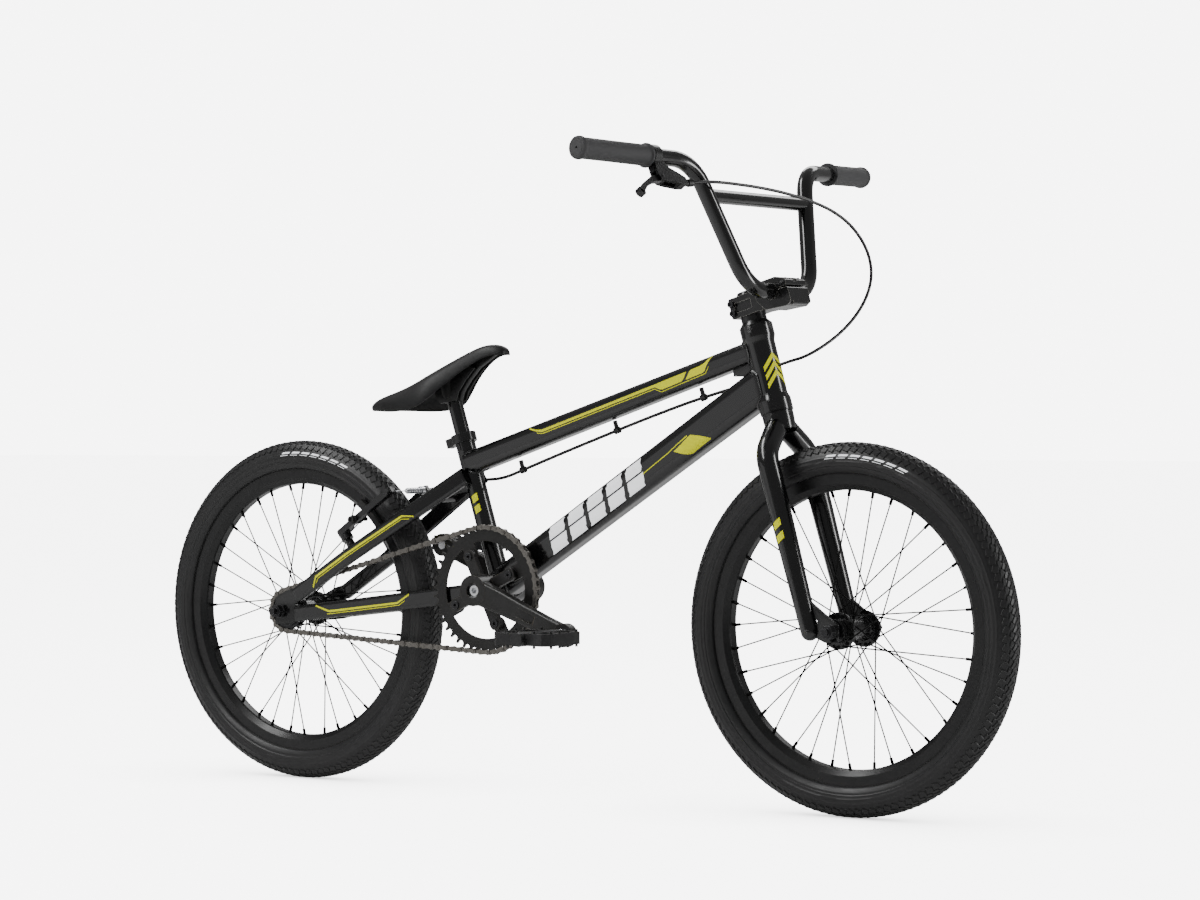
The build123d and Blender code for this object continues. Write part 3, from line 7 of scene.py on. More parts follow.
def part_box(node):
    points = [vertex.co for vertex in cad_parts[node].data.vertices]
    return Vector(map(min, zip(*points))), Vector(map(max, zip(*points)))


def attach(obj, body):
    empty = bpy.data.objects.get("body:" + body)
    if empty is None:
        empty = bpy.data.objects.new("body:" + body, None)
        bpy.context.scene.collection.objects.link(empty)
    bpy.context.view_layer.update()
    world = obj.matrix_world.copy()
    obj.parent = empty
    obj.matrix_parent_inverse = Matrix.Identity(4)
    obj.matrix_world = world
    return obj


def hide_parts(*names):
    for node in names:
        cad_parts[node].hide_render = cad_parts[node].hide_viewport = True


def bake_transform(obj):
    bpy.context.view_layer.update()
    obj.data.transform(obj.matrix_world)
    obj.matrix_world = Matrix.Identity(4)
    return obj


# A small-wheeled race bike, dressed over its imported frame. Metres, +X forward, +Y to the rider's left.

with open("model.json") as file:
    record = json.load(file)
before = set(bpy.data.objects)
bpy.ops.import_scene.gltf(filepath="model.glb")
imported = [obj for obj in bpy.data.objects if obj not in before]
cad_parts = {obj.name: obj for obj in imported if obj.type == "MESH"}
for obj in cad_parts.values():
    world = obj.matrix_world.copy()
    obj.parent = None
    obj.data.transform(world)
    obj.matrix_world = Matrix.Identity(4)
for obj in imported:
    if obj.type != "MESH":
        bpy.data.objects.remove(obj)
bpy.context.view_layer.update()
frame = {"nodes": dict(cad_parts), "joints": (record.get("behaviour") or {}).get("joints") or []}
nodes = frame["nodes"]
joints = {joint["name"]: joint for joint in frame["joints"]}
print("frame loaded,", len(nodes), "nodes")

left = Vector((0, 1, 0))
rearAxle = Vector(joints["rear_wheel_spin"]["pos_m"])
frontAxle = Vector(joints["front_wheel_spin"]["pos_m"])
bracket = Vector(joints["crank_spin"]["pos_m"])
headBase = Vector(joints["steering"]["pos_m"])
steerUp = Vector(joints["steering"]["axis"])
steerOut = Vector((steerUp.z, 0, -steerUp.x))
seatUp = Vector(joints["seat_height"]["axis"])


def onHead(up, out=0.0, side=0.0):
    return headBase + steerUp * up + steerOut * out + left * side


def onSeat(up, side=0.0):
    return bracket + seatUp * up + left * side


# working by hand
def putDown():
    if bpy.context.object and bpy.context.object.mode != "OBJECT":
        bpy.ops.object.mode_set(mode="OBJECT")
    bpy.ops.object.select_all(action="DESELECT")


def pickUp(*pieces):
    putDown()
    for piece in pieces:
        piece.select_set(True)
    bpy.context.view_layer.objects.active = pieces[0]


def editAll(piece):
    pickUp(piece)
    bpy.ops.object.mode_set(mode="EDIT")
    bpy.ops.mesh.select_all(action="SELECT")


def settle(piece, name=None):
    pickUp(piece)
    bpy.ops.object.transform_apply(location=True, rotation=True, scale=True)
    if name:
        piece.name = name
        piece.data.name = name
    return piece


def applyModifiers(piece):
    pickUp(piece)
    for modifier in list(piece.modifiers):
        bpy.ops.object.modifier_apply(modifier=modifier.name)


def thicken(piece, thickness, offset):
    thick = piece.modifiers.new("thick", "SOLIDIFY")
    thick.thickness = thickness
    thick.offset = offset
    applyModifiers(piece)


def faceOut(piece):
    editAll(piece)
    bpy.ops.mesh.normals_make_consistent(inside=False)
    bpy.ops.object.mode_set(mode="OBJECT")


def smoothOver(piece, angle=35):
    pickUp(piece)
    bpy.ops.object.shade_smooth_by_angle(angle=radians(angle))


def joined(pieces, name):
    pickUp(*pieces)
    if len(pieces) > 1:
        bpy.ops.object.join()
    piece = bpy.context.object
    piece.name = name
    piece.data.name = name
    return piece


def cleaned(piece, gap=0.00001):
    editAll(piece)
    bpy.ops.mesh.remove_doubles(threshold=gap)
    bpy.ops.mesh.normals_make_consistent(inside=False)
    bpy.ops.object.mode_set(mode="OBJECT")
    return piece


def copied(piece, name, matrix=None):
    twin = piece.copy()
    twin.data = piece.data.copy()
    bpy.context.scene.collection.objects.link(twin)
    twin.name = name
    if matrix is not None:
        twin.data.transform(matrix)
        if matrix.determinant() < 0:
            twin.data.flip_normals()
    return twin


mirrorAcross = Matrix.Scale(-1, 4, left)


def aimed(centre, direction, around=0.0):
    turn = Vector(direction).to_track_quat("Z", "Y").to_matrix().to_4x4()
    return Matrix.Translation(centre) @ turn @ Matrix.Rotation(around, 4, "Z")


# stations are (along, radius) from one end to the other: each is one more extruded ring
def turnedPiece(name, start, direction, stations, segments=48):
    way = Vector(direction).normalized()
    along, radius = stations[0]
    bpy.ops.mesh.primitive_circle_add(vertices=segments, radius=radius, fill_type="NGON")
    piece = bpy.context.object
    piece.matrix_world = aimed(Vector(start) + way * along, way)
    settle(piece, name)
    editAll(piece)
    for place, wide in stations[1:]:
        step = way * (place - along)
        bpy.ops.mesh.extrude_region_move(TRANSFORM_OT_translate={"value": step})
        size = wide / radius
        centre = Vector(start) + way * place
        bpy.ops.transform.resize(value=(size, size, size), center_override=centre)
        along, radius = place, wide
    bpy.ops.mesh.select_all(action="SELECT")
    bpy.ops.mesh.normals_make_consistent(inside=False)
    bpy.ops.object.mode_set(mode="OBJECT")
    smoothOver(piece)
    return piece


def dress(piece, body, material, replaced=()):
    piece.data.materials.clear()
    piece.data.materials.append(material)
    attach(piece, body)
    if replaced:
        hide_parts(*replaced)
    return piece


# node groups shared by the finishes
def newGroup(name, inputs, outputs):
    group = bpy.data.node_groups.new(name, "ShaderNodeTree")
    for label, kind, value in inputs:
        socket = group.interface.new_socket(name=label, in_out="INPUT", socket_type=kind)
        if value is not None:
            socket.default_value = value
    for label, kind in outputs:
        group.interface.new_socket(name=label, in_out="OUTPUT", socket_type=kind)
    return group, group.nodes.new("NodeGroupInput"), group.nodes.new("NodeGroupOutput")


def addNode(tree, kind, **settings):
    node = tree.nodes.new(kind)
    for key, value in settings.items():
        setattr(node, key, value)
    return node


def mixedColour(tree, factor, low, high):
    mix = addNode(tree, "ShaderNodeMix", data_type="RGBA")
    for socket, value in ((mix.inputs[0], factor), (mix.inputs[6], low), (mix.inputs[7], high)):
        if isinstance(value, bpy.types.NodeSocket):
            tree.links.new(value, socket)
        else:
            socket.default_value = value
    return mix.outputs[2]


def spread(tree, value, low, high, fromLow=0.0, fromHigh=1.0):
    scale = addNode(tree, "ShaderNodeMapRange")
    tree.links.new(value, scale.inputs[0])
    for place, given in ((1, fromLow), (2, fromHigh), (3, low), (4, high)):
        if isinstance(given, bpy.types.NodeSocket):
            tree.links.new(given, scale.inputs[place])
        else:
            scale.inputs[place].default_value = given
    return scale.outputs[0]


# fine pits for the bump, and broad patches that vary the roughness
def surfaceGrainGroup():
    group, given, out = newGroup("surfaceGrain", [
        ("Vector", "NodeSocketVector", None), ("Fine Scale", "NodeSocketFloat", 900.0),
        ("Patch Scale", "NodeSocketFloat", 22.0), ("Rough Low", "NodeSocketFloat", 0.3),
        ("Rough High", "NodeSocketFloat", 0.4)],
        [("Height", "NodeSocketFloat"), ("Roughness", "NodeSocketFloat")])
    fine = addNode(group, "ShaderNodeTexNoise")
    fine.inputs["Detail"].default_value = 3.0
    group.links.new(given.outputs["Vector"], fine.inputs["Vector"])
    group.links.new(given.outputs["Fine Scale"], fine.inputs["Scale"])
    patch = addNode(group, "ShaderNodeTexNoise")
    patch.inputs["Detail"].default_value = 4.0
    group.links.new(given.outputs["Vector"], patch.inputs["Vector"])
    group.links.new(given.outputs["Patch Scale"], patch.inputs["Scale"])
    rough = spread(group, patch.outputs["Fac"], given.outputs["Rough Low"], given.outputs["Rough High"],
        0.3, 0.7)
    group.links.new(fine.outputs["Fac"], out.inputs["Height"])
    group.links.new(rough, out.inputs["Roughness"])
    return group


# a thin paler film that gathers in soft noise patches
def dustFilmGroup():
    group, given, out = newGroup("dustFilm", [
        ("Vector", "NodeSocketVector", None), ("Color", "NodeSocketColor", (0, 0, 0, 1)),
        ("Dust", "NodeSocketColor", (0.1, 0.095, 0.09, 1)), ("Amount", "NodeSocketFloat", 0.1)],
        [("Color", "NodeSocketColor")])
    patch = addNode(group, "ShaderNodeTexNoise")
    patch.inputs["Scale"].default_value = 60.0
    patch.inputs["Detail"].default_value = 5.0
    group.links.new(given.outputs["Vector"], patch.inputs["Vector"])
    amount = addNode(group, "ShaderNodeMath", operation="MULTIPLY")
    group.links.new(spread(group, patch.outputs["Fac"], 0.0, 1.0, 0.35, 0.75), amount.inputs[0])
    group.links.new(given.outputs["Amount"], amount.inputs[1])
    colour = mixedColour(group, amount.outputs[0], given.outputs["Color"], given.outputs["Dust"])
    group.links.new(colour, out.inputs["Color"])
    return group


# how much a face bends away at its edges, for paler corners: partly rubbed wear, partly a painted edge
# highlight
def edgeWearAndHighlightGroup():
    group, given, out = newGroup("edgeWearAndHighlight", [
        ("Vector", "NodeSocketVector", None), ("Color", "NodeSocketColor", (0, 0, 0, 1)),
        ("Edge Color", "NodeSocketColor", (0.2, 0.2, 0.2, 1)), ("Amount", "NodeSocketFloat", 0.6)],
        [("Color", "NodeSocketColor"), ("Edge", "NodeSocketFloat")])
    bevel = addNode(group, "ShaderNodeBevel", samples=4)
    bevel.inputs["Radius"].default_value = 0.0011
    place = addNode(group, "ShaderNodeNewGeometry")
    dot = addNode(group, "ShaderNodeVectorMath", operation="DOT_PRODUCT")
    group.links.new(bevel.outputs[0], dot.inputs[0])
    group.links.new(place.outputs["Normal"], dot.inputs[1])
    patch = addNode(group, "ShaderNodeTexNoise")
    patch.inputs["Scale"].default_value = 240.0
    group.links.new(given.outputs["Vector"], patch.inputs["Vector"])
    edge = spread(group, dot.outputs["Value"], 1.0, 0.0, 0.86, 0.995)
    edgeWearAndHighlightMask = addNode(group, "ShaderNodeMath", operation="MULTIPLY")
    group.links.new(edge, edgeWearAndHighlightMask.inputs[0])
    group.links.new(spread(group, patch.outputs["Fac"], 0.35, 1.0, 0.3, 0.6), edgeWearAndHighlightMask.inputs[1])
    share = addNode(group, "ShaderNodeMath", operation="MULTIPLY")
    group.links.new(edgeWearAndHighlightMask.outputs[0], share.inputs[0])
    group.links.new(given.outputs["Amount"], share.inputs[1])
    # the edge colour is partly worn bare metal and partly a painted highlight along the corners
    group.links.new(mixedColour(group, share.outputs[0], given.outputs["Color"], given.outputs["Edge Color"]),
                    out.inputs["Color"])
    group.links.new(share.outputs[0], out.inputs["Edge"])
    return group


surfaceGrain = surfaceGrainGroup()
dustFilm = dustFilmGroup()
edgeWearAndHighlight = edgeWearAndHighlightGroup()


# one principled shader with grain, dust and, where asked, paler edges (partly rubbed wear, partly painted edge
# highlight) and rounded edges
def finish(name, look):
    material = bpy.data.materials.new(name)
    material.use_nodes = True
    tree = material.node_tree
    shader = tree.nodes["Principled BSDF"]
    shader.inputs["Metallic"].default_value = look.get("metallic", 0.0)
    shader.inputs["Specular IOR Level"].default_value = look.get("specular", 0.5)
    shader.inputs["Coat Weight"].default_value = look.get("coat", 0.0)
    shader.inputs["Coat Roughness"].default_value = look.get("coatRoughness", 0.03)
    # emission on a surface that is no lamp: a painted glow
    if "glow" in look:
        shader.inputs["Emission Color"].default_value = (*look["glow"][0], 1)
        shader.inputs["Emission Strength"].default_value = look["glow"][1]
    place = addNode(tree, "ShaderNodeTexCoord").outputs["Object"]
    grain = addNode(tree, "ShaderNodeGroup", node_tree=surfaceGrain)
    tree.links.new(place, grain.inputs["Vector"])
    grain.inputs["Fine Scale"].default_value = look.get("fineScale", 900.0)
    grain.inputs["Patch Scale"].default_value = look.get("patchScale", 22.0)
    grain.inputs["Rough Low"].default_value = look["rough"][0]
    grain.inputs["Rough High"].default_value = look["rough"][1]
    tree.links.new(grain.outputs["Roughness"], shader.inputs["Roughness"])
    film = addNode(tree, "ShaderNodeGroup", node_tree=dustFilm)
    tree.links.new(place, film.inputs["Vector"])
    film.inputs["Dust"].default_value = (*look.get("dustColour", (0.09, 0.088, 0.085)), 1)
    film.inputs["Amount"].default_value = look.get("dust", 0.06)
    if "edge" in look:
        edgeWearAndHighlightNode = addNode(tree, "ShaderNodeGroup", node_tree=edgeWearAndHighlight)
        tree.links.new(place, edgeWearAndHighlightNode.inputs["Vector"])
        edgeWearAndHighlightNode.inputs["Color"].default_value = (*look["colour"], 1)
        edgeWearAndHighlightNode.inputs["Edge Color"].default_value = (*look["edge"], 1)
        edgeWearAndHighlightNode.inputs["Amount"].default_value = look.get("edgeAmount", 0.5)
        tree.links.new(edgeWearAndHighlightNode.outputs["Color"], film.inputs["Color"])
    else:
        film.inputs["Color"].default_value = (*look["colour"], 1)
    tree.links.new(film.outputs["Color"], shader.inputs["Base Color"])
    bump = addNode(tree, "ShaderNodeBump")
    bump.inputs["Strength"].default_value = look.get("bump", 0.1)
    bump.inputs["Distance"].default_value = look.get("depth", 0.0002)
    tree.links.new(grain.outputs["Height"], bump.inputs["Height"])
    if look.get("round"):
        soft = addNode(tree, "ShaderNodeBevel", samples=4)
        soft.inputs["Radius"].default_value = look["round"]
        tree.links.new(soft.outputs[0], bump.inputs["Normal"])
    tree.links.new(bump.outputs[0], shader.inputs["Normal"])
    return material


framePaint = finish("framePaint", dict(
    colour=(0.0035, 0.0035, 0.0038), rough=(0.14, 0.2), specular=0.35, coat=0.8, coatRoughness=0.03,
    fineScale=260.0,
    bump=0.012, dust=0.02, dustColour=(0.02, 0.02, 0.02), round=0.007))
barPaint = finish("barPaint", dict(
    colour=(0.004, 0.004, 0.0042), rough=(0.16, 0.24), specular=0.35, coat=0.8, coatRoughness=0.05,
    fineScale=300.0,
    bump=0.012, dust=0.02, dustColour=(0.02, 0.02, 0.02)))
blackAlloy = finish("blackAlloy", dict(
    colour=(0.0065, 0.0065, 0.007), rough=(0.2, 0.32), specular=0.45, coat=0.3, coatRoughness=0.12, bump=0.04,
    edge=(0.16, 0.16, 0.165), edgeAmount=0.3, round=0.0006))
# the stem's pale edge colour is a painted edge highlight
stemAlloy = finish("stemAlloy", dict(
    colour=(0.0065, 0.0065, 0.007), rough=(0.2, 0.3), specular=0.45, coat=0.4, coatRoughness=0.1, bump=0.04,
    edge=(0.55, 0.53, 0.48), edgeAmount=0.9, round=0.0006))
# the crank's bronze edge colour is partly rubbed wear and partly a painted edge highlight
crankAlloy = finish("crankAlloy", dict(
    colour=(0.010, 0.0095, 0.009), rough=(0.30, 0.42), specular=0.45, bump=0.06, edge=(0.30, 0.25, 0.19),
    edgeAmount=0.3, round=0.0008))
ringAlloy = finish("ringAlloy", dict(
    colour=(0.009, 0.0085, 0.008), rough=(0.34, 0.46), specular=0.4, bump=0.05, edge=(0.26, 0.23, 0.2),
    edgeAmount=0.25, round=0.0003))
rimAlloy = finish("rimAlloy", dict(
    colour=(0.008, 0.008, 0.0085), rough=(0.26, 0.36), specular=0.4, bump=0.05, dust=0.05))
spokeSteel = finish("spokeSteel", dict(
    colour=(0.002, 0.002, 0.002), rough=(0.34, 0.46), specular=0.1, bump=0.03))
darkSteel = finish("darkSteel", dict(
    colour=(0.03, 0.03, 0.032), rough=(0.28, 0.42), metallic=0.6, bump=0.08, edge=(0.3, 0.3, 0.31),
    edgeAmount=0.4, round=0.0004))
brightSteel = finish("brightSteel", dict(
    colour=(0.72, 0.73, 0.75), rough=(0.16, 0.3), metallic=1.0, bump=0.05, dust=0.02, round=0.0004))
chainSteel = finish("chainSteel", dict(
    colour=(0.20, 0.19, 0.175), rough=(0.3, 0.44), metallic=0.9, bump=0.12, dust=0.3,
    dustColour=(0.06, 0.05, 0.04), patchScale=90.0))
padRubber = finish("padRubber", dict(colour=(0.013, 0.013, 0.013), rough=(0.55, 0.7), bump=0.25, dust=0.15))
clipPlastic = finish("clipPlastic", dict(colour=(0.012, 0.012, 0.0125), rough=(0.3, 0.45), bump=0.1))
pedalNylon = finish("pedalNylon", dict(
    colour=(0.020, 0.020, 0.0205), rough=(0.32, 0.44), specular=0.4, bump=0.15, dust=0.1,
    edge=(0.09, 0.09, 0.09),
    edgeAmount=0.4, round=0.0008))
tubeRubber = finish("tubeRubber", dict(colour=(0.012, 0.012, 0.012), rough=(0.5, 0.6)))

inNodes = {
    framePaint: (
        "head_tube", "top_tube", "down_tube", "seat_tube", "bottom_bracket_shell", "seatstay_right",
        "seatstay_left",
        "chainstay_right", "chainstay_left", "rear_dropouts", "brake_bosses", "head_gusset", "fork_steerer",
        "fork_legs", "fork_dropouts"),
    barPaint: ("handlebar", "crossbar", "seatpost"),
    blackAlloy: (
        "seat_clamp", "bottom_bracket_cups", "front_hub", "rear_hub", "headset_spacers", "brake_lever_bracket",
        "brake_lever", "brake_arm_right", "brake_arm_left"),
    stemAlloy: ("stem", "stem_clamp_cap"),
    crankAlloy: ("crank_right", "crank_left"),
    ringAlloy: ("chainring",),
    rimAlloy: ("front_rim", "rear_rim"),
    spokeSteel: ("front_spokes", "rear_spokes"),
    darkSteel: ("front_axle", "rear_axle", "chainring_bolts", "freewheel", "stem_bolts"),
    brightSteel: ("headset_bearings", "crank_spindle", "pedal_axles", "brake_noodle"),
    chainSteel: ("chain",),
    padRubber: ("brake_pad_right", "brake_pad_left", "brake_housing"),
    clipPlastic: ("cable_clips",),
    pedalNylon: ("pedal_right", "pedal_left"),
    tubeRubber: (
        "front_inner_tube", "rear_inner_tube", "front_tyre", "rear_tyre", "grips", "saddle",
        "brake_cable_loop"),
}
for material, names in inNodes.items():
    for nodeName in names:
        nodes[nodeName].data.materials.clear()
        nodes[nodeName].data.materials.append(material)
print("finishes on", sum(len(names) for names in inNodes.values()), "nodes")

# the pale floor with a painted contact shadow, four soft boxes and the camera
studio = {
    "cameraAzimuth": 34.64, "cameraElevation": 0.62, "cameraRoll": -0.20,
    "cameraPlace": (2.805, -3.968, 0.542), "lens": 103.17,
    "backdrop": (1.0, 1.0, 1.0), "backdropStrength": 7.0, "roomStrength": 0.22,
    "floorColour": (0.86, 0.86, 0.86), "floorGlow": 6.2, "shadeReach": 0.22, "shadeDepth": 0.12,
    "floorSize": 60.0, "boxCentre": (0, 0, 0.45),
}


def setCamera():
    azimuth, elevation, roll = (radians(studio[key]) for key in ("cameraAzimuth", "cameraElevation",
        "cameraRoll"))
    back = Vector((sin(azimuth) * cos(elevation), -cos(azimuth) * cos(elevation), sin(elevation)))
    right = Vector((cos(azimuth), sin(azimuth), 0))
    up = back.cross(right)
    rolledRight = right * cos(roll) + up * sin(roll)
    rolledUp = up * cos(roll) - right * sin(roll)
    bpy.ops.object.camera_add()
    camera = bpy.context.object
    turn = Matrix((rolledRight, rolledUp, back)).transposed().to_4x4()
    camera.matrix_world = Matrix.Translation(studio["cameraPlace"]) @ turn
    camera.data.sensor_width = 36.0
    camera.data.lens = studio["lens"]
    camera.data.clip_end = 200.0
    bpy.context.scene.camera = camera


def softBox(name, direction, distance, size, power, around=0.0):
    way = Vector(direction).normalized()
    centre = Vector(studio["boxCentre"])
    bpy.ops.object.light_add(type="AREA")
    light = bpy.context.object
    light.name = name
    light.data.shape = "RECTANGLE"
    light.data.size, light.data.size_y = size
    light.data.energy = power
    light.matrix_world = aimed(centre + way * distance, way, around)


def setStage():
    bpy.ops.mesh.primitive_plane_add(size=studio["floorSize"])
    floor = bpy.context.object
    floor.name = "studioFloor"
    material = bpy.data.materials.new("paleFloor")
    material.use_nodes = True
    shader = material.node_tree.nodes["Principled BSDF"]
    shader.inputs["Base Color"].default_value = (*studio["floorColour"], 1)
    shader.inputs["Roughness"].default_value = 0.9
    shader.inputs["Specular IOR Level"].default_value = 0.1
    shader.inputs["Emission Color"].default_value = (*studio["backdrop"], 1)
    tree = material.node_tree
    eye = addNode(tree, "ShaderNodeLightPath")
    # the floor's camera glow is dimmed by ambient occlusion near the bike: a painted contact shadow, not cast
    # by the soft boxes
    clear = addNode(tree, "ShaderNodeAmbientOcclusion", samples=12)
    clear.inputs["Distance"].default_value = studio["shadeReach"]
    glowWithPaintedShadow = spread(tree, clear.outputs["AO"], studio["floorGlow"] * studio["shadeDepth"], studio["floorGlow"])
    glow = spread(tree, eye.outputs["Is Camera Ray"], 0.0, glowWithPaintedShadow)
    tree.links.new(glow, shader.inputs["Emission Strength"])
    floor.data.materials.append(material)
    world = bpy.data.worlds.new("paleRoom")
    world.use_nodes = True
    tree = world.node_tree
    tree.nodes.clear()
    rays = tree.nodes.new("ShaderNodeLightPath")
    seen, room = tree.nodes.new("ShaderNodeBackground"), tree.nodes.new("ShaderNodeBackground")
    mix, out = tree.nodes.new("ShaderNodeMixShader"), tree.nodes.new("ShaderNodeOutputWorld")
    seen.inputs["Color"].default_value = (*studio["backdrop"], 1)
    seen.inputs["Strength"].default_value = studio["backdropStrength"]
    room.inputs["Color"].default_value = (*studio["backdrop"], 1)
    room.inputs["Strength"].default_value = studio["roomStrength"]
    tree.links.new(rays.outputs["Is Camera Ray"], mix.inputs[0])
    tree.links.new(room.outputs[0], mix.inputs[1])
    tree.links.new(seen.outputs[0], mix.inputs[2])
    tree.links.new(mix.outputs[0], out.inputs[0])
    bpy.context.scene.world = world


putDown()
setCamera()
setStage()
softBox("keyBox", (-0.46, -0.50, 0.76), 3.2, (4.2, 0.62), 92, around=radians(-35))
softBox("sideBox", (0.93, 0.33, 0.14), 3.2, (0.42, 2.4), 46)
softBox("fillBox", (-0.64, -0.76, 0.0), 4.2, (3.6, 0.8), 5.5)
softBox("backBox", (-0.25, 0.90, 0.75), 4.5, (4.0, 1.0), 46)
print("stage set")

# tyres
tyre = {
    "sectionRadius": 0.0245, "sectionCentre": 0.2265, "treadDrop": 0.0011, "pitches": 132,
    "blockHeight": 0.0022, "treadReach": 66, "ridgeAngles": (80, 92, 104), "ridgeHalf": 2.0,
    "ridgeFall": 0.00014,
    "wallReach": 112, "wallFall": 0.00077, "beadStart": 133, "beadDrop": 0.004, "beadShare": 0.96,
}                              # angles in degrees from the crown
treadRows = (                  # across the crown in degrees, length, width, slant in degrees, shift in pitches
    (4.5, 0.0130, 0.0052, 52, 0.0), (-4.5, 0.0130, 0.0052, -52, 0.5),
    (18, 0.0103, 0.0046, 30, 0.3), (-18, 0.0103, 0.0046, -30, 0.8),
    (31, 0.0103, 0.0046, 12, 0.6), (-31, 0.0103, 0.0046, -12, 0.1),
    (49, 0.0098, 0.0088, 24, 0.2), (-49, 0.0098, 0.0088, -24, 0.7),
)


def treadBlock(axle, across, length, width, slant, shift):
    lift = tyre["sectionRadius"] - tyre["treadDrop"]
    tilt = radians(across)
    bpy.ops.mesh.primitive_cube_add(size=1)
    block = bpy.context.object
    spin = Matrix.Rotation(-2 * pi * shift / tyre["pitches"], 4, "Y")
    place = (Matrix.Translation(axle) @ spin @ Matrix.Translation((0, 0, tyre["sectionCentre"]))
             @ Matrix.Rotation(-tilt, 4, "X") @ Matrix.Translation((0, 0, lift))
             @ Matrix.Rotation(radians(slant), 4, "Z"))
    block.matrix_world = place @ Matrix.Diagonal((length, width, tyre["blockHeight"], 1))
    settle(block)
    editAll(block)
    bpy.ops.mesh.bevel(offset=0.0006, segments=1, affect="EDGES")
    bpy.ops.object.mode_set(mode="OBJECT")
    return block


def makeTyre(name, axle, body, node, material):
    blocks = [treadBlock(axle, *row) for row in treadRows]
    tread = joined(blocks, name + "Tread")
    bpy.ops.object.empty_add()
    step = bpy.context.object
    step.matrix_world = (Matrix.Translation(axle) @ Matrix.Rotation(2 * pi / tyre["pitches"], 4, "Y")
                         @ Matrix.Translation(-axle))
    bpy.context.view_layer.update()
    array = tread.modifiers.new("round", "ARRAY")
    array.use_relative_offset = False
    array.use_object_offset = True
    array.offset_object = step
    array.count = tyre["pitches"]
    applyModifiers(tread)
    bpy.data.objects.remove(step)
    bpy.ops.mesh.primitive_torus_add(
        major_radius=tyre["sectionCentre"], minor_radius=tyre["sectionRadius"], major_segments=180,
        minor_segments=96, location=axle, rotation=(pi / 2, 0, 0))
    casing = bpy.context.object
    settle(casing, name + "Casing")
    for vertex in casing.data.vertices:
        away = vertex.co - axle
        radial = sqrt(away.x ** 2 + away.z ** 2)
        outward = Vector((away.x / radial, 0, away.z / radial))
        across, up = away.y, radial - tyre["sectionCentre"]
        angle = abs(degrees(atan2(across, up)))
        section = tyre["sectionRadius"]
        if angle < tyre["treadReach"]:
            section -= tyre["treadDrop"]
        elif min(abs(angle - ridge) for ridge in tyre["ridgeAngles"]) < tyre["ridgeHalf"]:
            section -= tyre["ridgeFall"]
        elif angle < tyre["wallReach"]:
            section -= tyre["wallFall"]
        across, up = sin(radians(angle)) * section * (1 if across > 0 else -1), cos(radians(angle)) * section
        if angle > tyre["beadStart"]:
            past = (angle - tyre["beadStart"]) / (180 - tyre["beadStart"])
            up = cos(radians(tyre["beadStart"])) * section - past * tyre["beadDrop"]
            across *= tyre["beadShare"]
        vertex.co = axle + outward * (tyre["sectionCentre"] + up) + left * across
    smoothOver(casing, 40)
    piece = joined([casing, tread], name)
    return dress(piece, body, material, (node,))


tyreRubber = finish("tyreRubber", dict(
    colour=(0.019, 0.019, 0.0195), rough=(0.36, 0.5), specular=0.42, fineScale=420.0, bump=0.12, dust=0.2,
    dustColour=(0.03, 0.03, 0.03), patchScale=40.0))
makeTyre("frontTyreCover", frontAxle, "front_wheel", "front_tyre", tyreRubber)
makeTyre("rearTyreCover", rearAxle, "rear_wheel", "rear_tyre", tyreRubber)
print("tyres cut and grooved")

# grips
grip = {
    "end": (0.27799, 0.358, 0.88186), "inward": (0.1543, -0.9876, -0.0276),
    "stations": (
        (0.0010, 0.0014), (-0.0026, 0.0016), (-0.0029, 0.0020), (-0.0029, 0.0098), (-0.0024, 0.0104),
        (-0.0024, 0.0112), (-0.0027, 0.0118), (-0.0022, 0.0140), (-0.0010, 0.0151), (0.0006, 0.0155),
        (0.0034, 0.0155), (0.0046, 0.0151), (0.0052, 0.0144), (0.0070, 0.0142), (0.0640, 0.0141),
        (0.1220, 0.0142),
        (0.1246, 0.0144), (0.1256, 0.0152), (0.1262, 0.0162), (0.1270, 0.0165), (0.1288, 0.0165),
        (0.1298, 0.0160),
        (0.1299, 0.01125), (0.1270, 0.0112)),
}


def makeGrips():
    material = finish("gripRubber", dict(
        colour=(0.065, 0.065, 0.067), rough=(0.6, 0.72), specular=0.4, fineScale=1500.0, bump=0.22, dust=0.1,
        dustColour=(0.06, 0.06, 0.06)))
    leftGrip = turnedPiece("leftGrip", grip["end"], grip["inward"], grip["stations"], 64)
    rightGrip = copied(leftGrip, "rightGrip", mirrorAcross)
    for piece in (leftGrip, rightGrip):
        dress(piece, "steering", material, ("grips",))


makeGrips()

